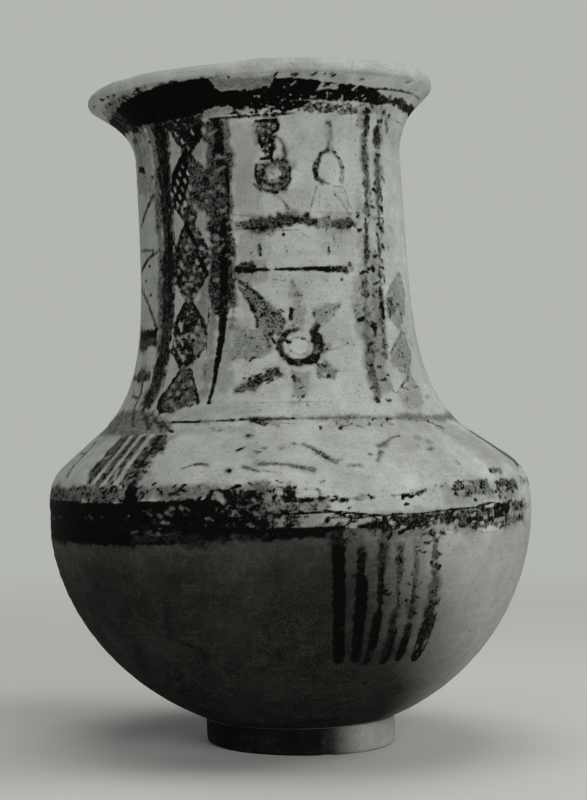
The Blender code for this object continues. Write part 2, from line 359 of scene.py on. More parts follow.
# %% The band under the lip
def paint_rim_band(canvas):
    upper = (
        (-66, 247.4), (-55, 248.8), (-45, 249.8), (-35, 251), (-25, 251.5), (-16, 251.3), (-8, 250.6),
        (4, 250.1), (15, 249.5), (20, 248.7), (30, 248.1), (37, 247.9), (45, 247.4), (48, 246.2),
    )
    lower = (
        (48, 242.8), (35, 242.7), (18, 242.4), (14, 240.6), (9, 239.4), (-10, 238.8), (-24, 240.5),
        (-45, 239.3), (-57, 240.5), (-66, 241),
    )
    area(canvas, "paint", upper + lower, 1.1)
    # its ends, which have worn thin
    left_end = ((-60, 248.4), (-72, 247), (-84, 246), (-84, 240), (-70, 239.4), (-58, 239.4))
    thin_end = ((-50, 250.6), (-70, 248.2), (-86, 247), (-86, 239.4), (-50, 238))
    right_end = ((46, 246.2), (60, 246), (80, 245.4), (80, 242.8), (60, 243.4), (46, 242.8))
    for points, load in ((left_end, 0.76), (thin_end, 0.5), (right_end, 0.78)):
        area(canvas, "paint", points, load)
    strokes(canvas, (
        (((44, 247.5), (56, 247.9), (66, 248.1), (80, 248)), (1.2, 0.8), 0.7),
        # the level line that closes the panel's top
        (((-22, 238.3), (-8, 238.2), (4, 238.4), (12, 238.7)), (1.3, 1.0, 1.5, 0.7), 0.84),
    ))
    # worn grey places
    for worn in (
        ((-16, 251.2), (4, 250.6), (3.6, 247.6), (-1, 247), (-6, 246.6), (-11, 246.4), (-14.5, 247)),
        ((-21, 242.6), (-13, 242.4), (-8, 241), (-4, 239.9), (-9, 239.2), (-17, 239), (-22, 238.6),
         (-24, 240)),
    ):
        stain(canvas, worn, -0.8, 0.74)
    # its soft upper edge at the left, which grades into grey
    for low, high, load, thick in ((249.2, 251.4, 0.44, 0.36), (250.6, 252.8, 0.2, 0.16)):
        soft = ((-80, low - 2.6), (-50, low), (-16, low + 0.8), (-16, high), (-50, high), (-80, high - 3))
        area(canvas, "paint", soft, load)
        crumble(canvas, -66, -17, low, high, thick, (0.5, 0.9), int(10 * low))
    crumble(canvas, -17, 46, 249.6, 251.2, 0.24, (0.6, 0.95), 17)
    crumble(canvas, -8, 40, 238.8, 243.2, 0.3, (-0.8, -0.5), 18)
    crumble(canvas, -8, 48, 239.2, 242.8, 0.26, (0.6, 0.95), 19)
    stroke(canvas, "paint", ((10, 242.9), (26, 243.1), (44, 242.8)), 0.5, -0.7)
    # pale flecks where paint has flaked off
    flecks = (
        (((-9, 239.6), (-5, 239.9)), 0.6), (((-1, 239.4), (1, 239.8)), 0.5),
        (((2.2, 238.2), (2.2, 240.3)), 0.6), (((4, 239.6), (6, 239.8)), 0.5),
        (((20.3, 246.4), (21.6, 247.9)), 1.9), (((21, 246.6), (24, 247), (27.3, 246.8)), 1.4),
        (((25, 247.7), (27.2, 247.8)), 1.0), (((24, 245.6), (24.6, 243.8)), 0.7),
        (((18.6, 243.9), (19.6, 244)), 0.8), (((30.5, 244.6), (31, 243.9)), 0.7),
        (((34.3, 246.6), (35.2, 247.8)), 1.5), (((10.5, 247.5), (12, 248.6)), 0.9),
        (((18, 242.5), (30, 242.3)), 0.5), (((46, 246.9), (60, 247), (72, 246.9)), 1.0),
    )
    for points, width in flecks:
        stroke(canvas, "paint", points, width, -0.74)
    # the ragged lower edge on the right
    box(canvas, "paint", 12, 37, 238.8, 242.6, 0.55)
    box(canvas, "paint", 37, 57, 239.4, 242.6, 0.4)
    chance = np.random.default_rng(11)
    for _ in range(70):
        place = (chance.uniform(-6, 52), chance.uniform(239.0, 248.4))
        stroke(canvas, "paint", (place,), chance.uniform(0.3, 1.0), -0.85)
    strokes(canvas, (
        (((44.5, 240.4),), 1.9, 0.9), (((38.5, 239.8),), 1.5, 0.8), (((54.8, 241),), 1.8, 0.9),
        (((59.5, 240),), 2.2, 0.7), (((50.5, 240),), 1.3, 0.6),
    ))
    # grey fingered tint on the outer face of the lip
    area(canvas, "wash", ((-60, 250), (-60, 253.6), (-15, 254.2), (-15, 250.6)), 0.42)
    area(canvas, "wash", ((-16, 250.4), (-16, 254.1), (30, 253.8), (30, 248.6)), 0.3)
    for start, end, height, load in (
        (-70, -30, 249.6, 0.6), (-55, -12, 251.4, 0.62), (-42, -16, 252.5, 0.7), (-60, -24, 253.4, 0.5),
        (-30, 10, 253, 0.44), (-6, 34, 251.6, 0.4), (4, 60, 254.8, 0.4), (-20, 20, 255, 0.42),
    ):
        points = ((start, height - 0.5), ((start + end) / 2, height), (end, height))
        stroke(canvas, "wash", points, 0.9, load)
    box(canvas, "paint", -44, -14, 250.8, 253.2, 0.42)
    box(canvas, "paint", -62, -44, 249, 251.4, 0.36)
    stroke(canvas, "paint", ((-78, 251.2), (-75.5, 251.3)), 1.2, 0.7)
    stroke(canvas, "paint", ((57.5, 250.6), (59.5, 250.9)), 1.4, 0.4)


# %% [markdown]
# Down the neck run dark stripes, and between them chains of dark lozenges that leave pale triangles at
# their sides. A chain is painted as one dark strip, and the triangles are lifted out of it, because the
# strip's own edges then stay straight as they do on the jar.


# %% Stripes and lozenge chains
def paint_left_stripes(canvas):
    # the broad stripe at the far left, which drifts left as it comes down
    area(canvas, "paint", (
        (-53.6, 240.5), (-52.8, 215), (-52.4, 200), (-53.2, 180), (-53.6, 165), (-55.2, 156), (-55.8, 147),
        (-56.8, 140), (-56.8, 133), (-50, 131), (-48.6, 137), (-47.6, 147), (-46.6, 153), (-45.6, 162),
        (-44.9, 180), (-44.7, 200), (-45, 215), (-44.5, 240.5),
    ), 0.68)
    area(canvas, "wash", (
        (-53.6, 240.5), (-52.8, 215), (-52.4, 200), (-53.2, 180), (-55.2, 156), (-56.8, 140), (-56.8, 133),
        (-50, 131), (-47.6, 147), (-45.6, 162), (-44.9, 180), (-44.7, 200), (-44.5, 240.5),
    ), 1.05)
    stroke(canvas, "paint", ((-48.6, 240), (-47.8, 215), (-47.6, 190), (-48.6, 168)), (3.4, 2.6), 0.8)
    area(canvas, "wash", ((-57.2, 241), (-57, 190), (-57, 150), (-57.4, 135), (-52, 135), (-52, 241)), 0.5)
    area(canvas, "paint", ((-57.2, 241), (-56.8, 190), (-57, 150), (-52, 150), (-52, 241)), 0.42)
    box(canvas, "paint", -56, -47.5, 131, 147, -0.2)
    for start in (-51.4, -49.2, -46.6):
        scratch = ((start, 236), (start, 190), (start - 1.6, 160), (start - 3, 136))
        stroke(canvas, "paint", scratch, 0.8, -0.14)
    # the lozenge chain
    area(canvas, "paint", (
        (-44.6, 240.5), (-44.8, 200), (-45.4, 165), (-47, 147), (-47.6, 134), (-44, 129), (-30, 132),
        (-28.2, 150), (-27, 165), (-26.8, 200), (-26.5, 232), (-24, 240.5),
    ), 0.8)
    crumble(canvas, -45, -27, 132, 208, 0.3, (-0.6, -0.25), 22)
    black_pull = ((-28.5, 235.5), (-34, 228.5), (-38, 225), (-42.6, 220), (-43.4, 214))
    stroke(canvas, "paint", black_pull, (4.2, 3.0), 1.0)
    black = ((-38.5, 225), (-43.8, 219), (-44, 208), (-38, 209), (-34.6, 216), (-35.5, 225))
    area(canvas, "paint", black, 0.95)
    # parts of the chain that have worn to grey speckle
    worn = (
        (((-34.5, 224.5), (-27, 221), (-27, 205), (-31, 204.5), (-38, 208), (-36, 213)), -0.3),
        (((-41, 208), (-31, 205), (-36, 201.5), (-39, 202)), -0.12),
        (((-40, 199), (-34.5, 199), (-31.5, 190), (-33, 176), (-38, 180), (-42, 188)), -0.14),
        (((-34, 165), (-28.2, 163), (-28.6, 154), (-34, 150)), -0.4),
        (((-40, 147), (-35, 147), (-29, 134), (-31, 131.5), (-43, 130), (-46, 136)), -0.24),
    )
    for points, lift in worn:
        stain(canvas, points, lift, 0.7)
    # the dark lines that cross between the lozenges
    strokes(canvas, (
        (((-37.6, 200.4), (-34.2, 195), (-31, 188), (-28, 181)), 2.2, 0.97),
        (((-39.2, 200), (-42, 193), (-43.2, 187)), 1.8, 0.9),
        (((-39.6, 171), (-43, 165.4), (-44.8, 160)), 1.8, 0.9),
        (((-34.6, 170.8), (-30, 163), (-28.6, 159)), 1.8, 0.85),
        (((-40, 146), (-44, 139.6), (-46.6, 133.4)), 1.8, 0.85),
        (((-34.4, 146), (-31, 139), (-28.8, 133.4)), 1.8, 0.85),
    ))
    triangles = (
        ((-43.6, 236.5), (-44.3, 220.3), (-38.0, 227.5)),
        ((-44.2, 208.3), (-43.8, 193.2), (-38.3, 201.0)),
        ((-44.4, 179.0), (-45.3, 164.0), (-39.3, 171.3)),
        ((-46.2, 153.0), (-47.5, 136.0), (-40.3, 145.8)),
        ((-26.6, 232.3), (-26.8, 221.0), (-33.0, 226.7)),
        ((-27.2, 204.5), (-26.6, 191.5), (-30.3, 197.5), (-32.7, 200.7), (-30.0, 204.3)),
        ((-27.3, 180.8), (-28.0, 163.0), (-34.7, 171.2)),
        ((-28.6, 154.0), (-28.4, 134.5), (-34.5, 146.5)),
    )
    # a grey film has stayed on most of the triangles, thickest on the right
    for points, film in zip(triangles, (0.3, 0.12, 0, 0, 0.5, 0.36, 0.6, 0.42)):
        stain(canvas, points, -1.0, -1.0)
        area(canvas, "wash", points, film)
    # pale dabs left between crossed brush lines, in slanting rows
    chance = np.random.default_rng(21)
    for middle, height, half_width, half_height in (
        (-35.5, 234.5, 8, 8), (-38.5, 214, 7, 11), (-36.5, 186, 8, 13), (-38.5, 158.5, 8, 11),
        (-38.5, 137, 8, 8),
    ):
        for i in range(-4, 5):
            for j in range(-3, 4):
                a, h = middle + 4.2 * j + 1.6 * i, height + 2.8 * i
                off_centre = abs(a - middle) / half_width + abs(h - height) / half_height
                if off_centre < 1 and chance.random() < 0.85:
                    lift = chance.uniform(-1.0, -0.7) if 204 < h < 224 else chance.uniform(-0.8, -0.3)
                    stroke(canvas, "paint", ((a + 0.3, h - 0.6), (a - 0.3, h + 0.6)), 1.0, lift)
                    stroke(canvas, "wash", ((a, h),), 1.3, lift)
    # the second dark band, whose black core drifts left and thins as it comes down
    for points, load in (
        (((-26, 236), (-26.4, 190), (-26.8, 168), (-24.5, 166), (-18, 164), (-16.2, 185), (-16, 215),
          (-16.8, 238.4), (-22, 238.4)), 0.62),
        (((-22, 238.6), (-21.6, 222), (-19, 216), (-17, 222), (-18.2, 238.6)), 0.86),
        (((-20.8, 222), (-20.8, 205), (-20.6, 196), (-16.6, 196), (-16.2, 205), (-16.4, 222)), 0.7),
        (((-26, 217), (-21, 219), (-20.4, 206), (-25, 207)), 0.64),
        (((-21.4, 199), (-26.2, 188), (-26, 172), (-24.4, 168), (-22.6, 164), (-18.4, 165), (-16, 176),
          (-15.2, 188), (-16.6, 199)), 0.68),
    ):
        area(canvas, "paint", points, load)
    stroke(canvas, "paint", ((-17.4, 222), (-16.8, 213), (-17.4, 204), (-16.8, 197)), (1.6, 1.2), 0.86)
    core = ((-19.6, 200), (-20.2, 186), (-20.4, 176), (-21, 166), (-22.2, 156), (-23.6, 145), (-24.6, 133.4))
    stroke(canvas, "paint", core, (3.2, 3.6, 3.4, 3.4, 2.8, 2.0, 1.5), 0.94)
    crumble(canvas, -26, -15.4, 168, 236, 0.12, (-0.7, -0.3), 23)
    box(canvas, "paint", -18, -14.4, 186, 237, 0.46)
    area(canvas, "paint", ((-18, 187), (-18.6, 160), (-16, 160), (-14.4, 187)), 0.5)
    area(canvas, "wash", ((-28.4, 168), (-29, 136), (-25.4, 136), (-23.5, 168)), 0.66)
    area(canvas, "wash", ((-21.2, 165), (-23.2, 137), (-18.6, 137), (-16, 165)), 0.46)
    area(canvas, "wash", ((-15, 237), (-15, 150), (-12, 150), (-7, 186), (-2, 200), (-5, 237)), 0.26)
    box(canvas, "wash", -27, -14.4, 168, 238, 0.72)


def paint_right_stripes(canvas):
    # each stripe is a run of places: left edge, right edge, top, bottom, and how dark it still is
    stripes = (
        (43.2, 47.3, 239.2, 234.5, 0.88), (43.2, 46.8, 234.5, 230, 0.68), (43.2, 46.6, 230, 215, 0.56),
        (42.6, 45.6, 215, 202, 0.62), (42.0, 44.6, 202, 195, 0.74), (41, 43.6, 195, 187, 0.7),
        (40.4, 43, 187, 180, 0.64), (38.3, 42, 180, 170, 0.56), (37.5, 41, 170, 160, 0.48),
        (36.2, 40, 160, 147, 0.42), (35.4, 38.8, 147, 138, 0.46), (34.8, 38, 138, 133, 0.42),
        (51.5, 56.4, 239, 236.6, 0.85), (51, 56.2, 236.6, 231, 0.68), (51, 55.6, 231, 227, 0.7),
        (51.4, 54.8, 227, 220, 0.6), (51, 54.2, 220, 210, 0.56), (50.3, 53.6, 210, 195, 0.6),
        (49, 51.8, 195, 185, 0.64), (47.6, 51, 185, 175, 0.58), (46.2, 50.8, 175, 169, 0.66),
        (45, 48.6, 169, 155, 0.5), (44, 47.6, 155, 147.5, 0.48), (43, 46.4, 147.5, 136, 0.4),
        (53.7, 56, 211, 204, 0.66), (53.4, 55.4, 204, 195, 0.58), (51.2, 53.6, 186, 182, 0.5),
        (51.5, 52.9, 180, 177, 0.6), (44.6, 50.4, 212, 195, 0.3), (43.4, 48.6, 191, 176, 0.33),
        (33, 37, 172, 160, 0.32), (41, 44.4, 147, 138, 0.3), (36, 39.6, 212, 190, 0.2),
        (39.6, 41, 239, 229.5, 0.36), (42.6, 46.6, 176, 160, 0.45),
    )
    for seed, (left, right, top, bottom, load) in enumerate(stripes):
        box(canvas, "paint", left, right, bottom, top, load * 0.85)
        crumble(canvas, left, right, bottom, top, 0.16, (0.6, 0.9), 400 + seed)
        crumble(canvas, left - 1, right + 1, bottom, top, 0.1, (-0.8, -0.4), 450 + seed)
    box(canvas, "wash", 37.5, 42.6, 190, 213, 0.3)
    area(canvas, "wash", (
        (43, 240), (47, 240), (46, 205), (44, 190), (40, 165), (38, 134), (35, 134), (37, 165), (41, 190),
        (42.6, 205),
    ), 0.78)
    area(canvas, "wash", (
        (51.4, 240), (56.2, 240), (54, 205), (51, 185), (50.6, 165), (47, 148), (44, 148), (46, 170),
        (49, 190), (51, 215),
    ), 0.82)
    area(canvas, "wash", ((35, 165), (46, 168), (44.5, 136), (34.5, 134)), 0.56)
    area(canvas, "wash", ((36, 182), (50, 190), (49, 160), (46, 140), (36, 140), (34, 166)), 0.46)
    crumble(canvas, 36, 50, 136, 182, 0.14, (0.3, 0.7), 24)
    # blots
    strokes(canvas, (
        (((48.6, 169), (49, 164)), 2.4, 0.8), (((45, 182.3),), 2.8, 0.8), (((35.4, 132.8),), 2.8, 0.7),
        (((53, 190.8), (54, 190.2)), 3, 0.8), (((39.4, 132.8), (40.4, 133)), 2.6, 0.75),
        (((56, 217), (57.6, 215.4)), 1.8, 0.5), (((54.2, 205.2),), 2.2, 0.85), (((57.4, 190.6),), 2.2, 0.5),
        (((58, 238), (61, 235)), 3, 0.5), (((63.8, 233.4),), 2.2, 0.36), (((42.6, 158.4),), 3, 0.6),
        (((65.5, 231), (71, 230.6)), 1.6, 0.27), (((59, 198), (62, 197.6)), 3, 0.3),
        (((47, 158.8),), 2.4, 0.66), (((43.8, 241), (46, 240.2)), 1.6, 0.9),
    ))
    # what is left of the lozenge chain on this side: speckle, and the outlines round pale triangles
    for points, load in (
        (((51, 172), (58, 176), (66, 181), (71, 176), (68, 166), (60, 160), (51, 164)), 0.38),
        (((52, 172), (57, 172), (60, 166), (54, 164), (51, 166)), 0.54),
        (((49, 150), (58, 157), (64, 158), (66, 150), (58, 144), (48, 146)), 0.36),
        (((45, 135.6), (52, 139), (60, 143), (62, 138), (58, 131), (46, 129)), 0.33),
    ):
        stain(canvas, points, load, load * 0.4)
    strokes(canvas, (
        (((53.5, 173), (58, 176.8), (63, 180), (67, 181), (70, 176), (70.5, 172.5)), 1.8, 0.44),
        (((51.5, 164.3), (56, 161.8), (59.4, 159.6)), 1.5, 0.42),
        (((49.5, 150.5), (53, 153.5), (57, 156.5), (61, 159), (62.5, 158)), 2.0, 0.5),
        (((57.2, 154), (56.8, 151), (58.6, 149)), 1.3, 0.5), (((52, 144.2), (55, 143)), 1.4, 0.42),
        (((65, 160.5), (65.5, 156.5), (68.5, 153.5)), 1.3, 0.42), (((60, 192), (66, 193.5)), 1.0, 0.3),
        (((45, 136), (49.5, 138), (53, 140), (57, 142), (58, 143.5)), 2.0, 0.42),
        (((62.5, 133.5), (66, 134)), 2.4, 0.32),
    ))
    for points in (
        ((53.5, 187), (60.5, 182), (53.5, 173.8)),
        ((51, 163.8), (59, 159), (48.5, 150.8)),
        ((45.6, 145.5), (55, 142), (45, 135.8)),
    ):
        stain(canvas, points, -1.0, -1.0)
    stroke(canvas, "paint", ((61, 239.2), (80, 238.8)), 0.7, 0.42)


# %% [markdown]
# The narrow panel at the far left was filled with thin crossed lines, dark bars and scribble. Only half
# of it turns towards the front, so it is painted with fewer and longer marks.


# %% The narrow panel at the left
def paint_left_panel(canvas):
    stain(canvas, ((-79, 238), (-57, 238), (-57.6, 214.5), (-79, 214.5)), 0.28, 0.3)
    for start in (-76, -71, -66, -61):
        stroke(canvas, "wash", ((start, 238), (start + 1, 226), (start - 1, 214)), (3, 1.6), 0.6)
    for points, width in (
        (((-69, 232.5), (-64, 235)), 3), (((-66, 228),), 4.5), (((-60, 234.5), (-58, 232)), 3),
        (((-66, 224.6), (-63.4, 224.4)), 2.4), (((-61, 229), (-58.5, 226)), 2.5),
    ):
        stroke(canvas, "paint", points, width, -0.85)
    strokes(canvas, (
        (((-74, 225.4), (-67.5, 224.4)), 2.6, 0.9), (((-75, 236), (-71, 236.6)), 2.2, 0.6),
        (((-59, 233.8), (-57.5, 234.2)), 1.2, 0.9), (((-66, 221.2), (-58, 220.4)), 1.4, 0.6),
        (((-58.5, 213.4), (-64, 210), (-70, 206), (-76, 202.6)), (1.8, 2.4), 0.6),
        (((-57, 191.6), (-64, 190.2), (-72, 187.6), (-79, 185.8)), 2.0, 0.68),
        (((-60, 192.4), (-70, 193.4), (-79, 193.8)), 1.4, 0.55),
        (((-57.4, 162.6), (-62, 167.6), (-67, 172.6), (-72, 175.8), (-79, 178.6)), (2.4, 2.0), 0.6),
        (((-60, 166.8), (-66, 173.4), (-72, 178), (-79, 181)), 1.0, 0.45),
        (((-62.6, 141.6), (-61.2, 137), (-61.4, 132)), 1.5, 0.7), (((-70, 136.6), (-62, 136)), 1.5, 0.66),
        (((-74, 141.6), (-70, 138.4), (-67, 137)), 1.2, 0.5), (((-57.5, 142), (-57.4, 133)), 1.2, 0.55),
    ))
    # two level bars, the upper one blacker along its top
    for right, low, high, load in ((-56.5, 155.2, 162.4, 0.6), (-57, 142.2, 146.3, 0.55)):
        box(canvas, "paint", -79, right, low, high, load)
        box(canvas, "wash", -79, right, low, high, load + 0.2)
    box(canvas, "paint", -79, -56.5, 158.8, 162.2, 0.85)
    for angle, height in ((-64.7, 186.8), (-69.7, 181.5), (-63.8, 175.6)):
        stroke(canvas, "paint", ((angle - 0.7, height), (angle + 0.7, height)), 1.0, 0.95)


# %% [markdown]
# The front panel carries two long-necked jugs over a thick bar, a thinner bar, and a star with a ring at
# its heart. These are common figures on such ware. The second jug and most of the star's rays have worn
# almost away, so they get a light load of paint, and only their outlines are still sharp.


# %% The jugs and the bars
def paint_jugs(canvas):
    neck = (
        (-4.2, 236.4), (4.4, 236.8), (4.2, 233.2), (3.2, 230.4), (2.9, 226), (2.8, 221.8), (-0.8, 222),
        (-1.8, 225.4), (-3, 229.6), (-4, 234),
    )
    stain(canvas, neck, 0.68, 0.96)
    strokes(canvas, (
        (((-3.6, 236.3), (4.3, 236.6)), 1.3, 1.0), (((-3.6, 235.2), (-0.8, 235.3)), 0.5, -0.8),
        (((3.8, 233.9),), 3.8, 1.0), (((3.4, 234.1),), 1.8, -1.0), (((3.8, 234.1),), 0.8, 0.9),
        (((-2.8, 231), (-1.4, 225.8)), 1.3, 0.95), (((1.7, 229.6), (1.9, 222)), 1.8, 1.0),
        (((-2.4, 222.6), (2, 222.8)), 1.0, 0.95),
    ))
    for dot in (
        (-1.5, 226.4), (0.3, 226.4), (-0.9, 233.2), (0.4, 229.4), (-2.4, 233.8), (1.2, 232.4), (-1.2, 230.2),
        (0.2, 224.2), (1.4, 227.6), (1.6, 235),
    ):
        stroke(canvas, "paint", (dot,), 0.9, -0.95)
        stroke(canvas, "wash", (dot,), 0.9, -0.95)
    body = (
        (-4.8, 221.2), (-1, 223.2), (3, 223.8), (7.5, 222.4), (9.8, 218.8), (9.6, 214.4), (7.2, 211),
        (3, 209.4), (-1, 210.2), (-4.6, 212.8), (-5.6, 216.8),
    )
    hollow = (
        (-0.6, 219.6), (2.4, 220.6), (4.6, 219), (5.2, 216.4), (4, 214), (1.4, 213.4), (-0.8, 214.6),
        (-1.3, 217.2),
    )
    stain(canvas, body, 0.56, 0.84)
    strokes(canvas, (
        (((-4.6, 220.8), (-5, 216.8), (-4, 213.4), (-1, 210.9), (3.4, 210.2)), (1.0, 1.5), 0.86),
        (((4, 222.6), (7, 221.6), (9.2, 218.6), (9, 214.8), (6.8, 211.8)), 0.9, 0.88),
    ))
    stain(canvas, hollow, -0.86, -0.8)
    crumble(canvas, -4, 9, 210, 223, 0.16, (-0.8, -0.4), 41)
    crumble(canvas, -5, 9.6, 209.6, 223, 0.16, (0.5, 0.9), 42)
    handle = ((4, 230.9), (6, 229.4), (7.2, 226.6), (7.2, 223))
    strokes(canvas, (
        (((-4.6, 221.4), (1, 221.7)), 0.7, -0.9), (((1, 214.6), (3.6, 215)), 0.5, 0.6),
        (((-5.9, 213.6), (-5, 212.6), (-3, 210.9)), 1.0, 0.8), (((2.2, 217),), 1.7, 0.5),
        (handle, (1.0, 1.6), 0.5), (((3.6, 208.9), (5.8, 206.6), (7.3, 204.4)), 1.1, 0.55),
        (((-4.4, 209.4), (-5.1, 204.5)), 0.9, 0.36),
    ))
    stroke(canvas, "wash", handle, (1.2, 1.7), 0.9)
    # the second jug
    strokes(canvas, (
        (((24.9, 235.8), (27, 235.7)), 1.2, 0.62), (((25.6, 235.4), (27.4, 234.8)), 1.8, 0.56),
        (((27.6, 232.6),), 1.8, 0.4), (((26.2, 229), (26, 225.4)), 1.3, 0.5),
        (((26, 225.6), (22.6, 223.8), (20.3, 221), (19.5, 217.8), (20.4, 215), (22.4, 213.9)),
         (2.0, 2.6), 0.62),
        (((20, 218.6), (20.2, 216.4)), 1.8, 0.9), (((22.4, 213.7), (25.4, 213.2)), 1.0, 0.6),
        (((28.2, 225.4), (30.8, 222.6), (32.4, 218.8), (32, 214.6)), 2.2, 0.46),
        (((27.6, 212.2), (32, 212)), 0.8, 0.5), (((19.8, 212.2), (17.8, 206.6), (16.6, 203.8)), 0.9, 0.5),
        (((28, 209.4), (31, 206.8), (33.4, 203.4)), 0.9, 0.45), (((32.8, 211.4), (34.6, 204.6)), 0.9, 0.4),
        (((24, 208.4), (24.4, 205.2)), 1.0, 0.36), (((21, 208.4),), 1.4, 0.4),
    ))
    stroke(canvas, "wash", ((26.4, 235.6), (27.2, 231), (26.8, 226)), (2.6, 2.0, 1.8), 0.5)
    area(canvas, "paint", ((25.2, 235), (28.4, 235), (28.2, 226), (25.4, 226)), 0.2)
    area(canvas, "paint", ((19, 212), (32, 212), (34.5, 203), (17, 203)), 0.16)


def paint_bars(canvas):
    bar = (
        (-15, 200.2), (-4, 200.8), (3, 201.2), (3.4, 202.3), (16, 202.4), (15.4, 200.6), (19.4, 200.2),
        (19.2, 197.7), (12, 197.4), (5, 197), (-1, 196.6), (-15, 196.6),
    )
    stain(canvas, bar, 0.58, 0.86)
    stain(canvas, ((25.3, 200), (31, 200.2), (38, 199.8), (38, 197.2), (25.5, 196.8)), 0.58, 0.7)
    area(canvas, "paint", ((2.6, 199), (4, 201.8), (16, 201.8), (19, 199.6), (19, 198), (12, 197.8)), 0.62)
    box(canvas, "paint", 19.4, 25.4, 196.4, 201.4, 0.4)
    strokes(canvas, (
        (((-15, 197), (-8, 197.2), (-1, 197.2)), 1.0, 0.8), (((15.2, 201.8),), 1.3, 0.95),
        (((22.4, 199.6), (23.6, 197.6)), 1.8, 0.62), (((2, 202.8), (16, 202.6), (36, 202.4)), 0.8, 0.4),
        (((-15, 202.6), (-4, 201.6)), 1.4, 0.45), (((-14.2, 196.2), (-5, 196.4)), 0.6, -0.9),
        (((5, 196.2), (11, 196)), 0.8, 0.7),
    ))
    # small marks under the bar
    strokes(canvas, (
        (((5, 194.5),), 1.3, 0.95), (((12.6, 194.6), (15.4, 193.5)), 0.8, 0.6), (((-12.3, 192.2),), 1.0, 0.8),
        (((6, 188.4),), 0.9, 0.8), (((-4.9, 190.6), (-4.9, 187.4)), 1.4, 0.78),
        (((24, 191), (23.6, 187.4)), 1.6, 0.42), (((26.4, 194.6), (26.2, 190)), 1.2, 0.42),
        (((29.6, 195.4), (29.4, 192)), 1.0, 0.4), (((-8.5, 188.2),), 1.0, 0.6),
        (((32.8, 183.2), (34, 181.8)), 2.6, 0.5), (((28.8, 177.9),), 1.6, 0.8),
        (((-0.5, 178.2), (4.6, 177.6)), 0.9, 0.45), (((20, 178), (22, 177.6)), 1.2, 0.4),
    ))
    box(canvas, "paint", -14, 0, 186, 196, 0.2)
    box(canvas, "paint", 20, 36, 186, 196.5, 0.2)
    box(canvas, "paint", -14.6, -2, 177, 186, 0.33)
    # the thinner bar
    area(canvas, "paint", ((-14, 185.6), (-8, 185.4), (-7.6, 183), (-14, 182.6)), 0.78)
    strokes(canvas, (
        (((-14.6, 182.4), (-9, 181.8), (-5, 181.9), (-1.6, 181.7)), (2.6, 2.2, 1.3, 1.0), 0.98),
        (((0.9, 181.8), (10, 181.7), (18, 181.9), (23, 181.4)), (1.0, 1.3, 1.7, 2.2), 1.0),
        (((23, 181.4), (30.8, 181.5)), (2.3, 3.0), 0.74), (((0.8, 177.6), (8, 178)), 0.7, 0.3),
    ))


# %% [markdown]
# The star is a ring with rays. The ring is one long pull of the brush round the left, and a thicker pull
# closes it at the right. Each ray is two thin outlines with a mottled filling, thickest at the left.


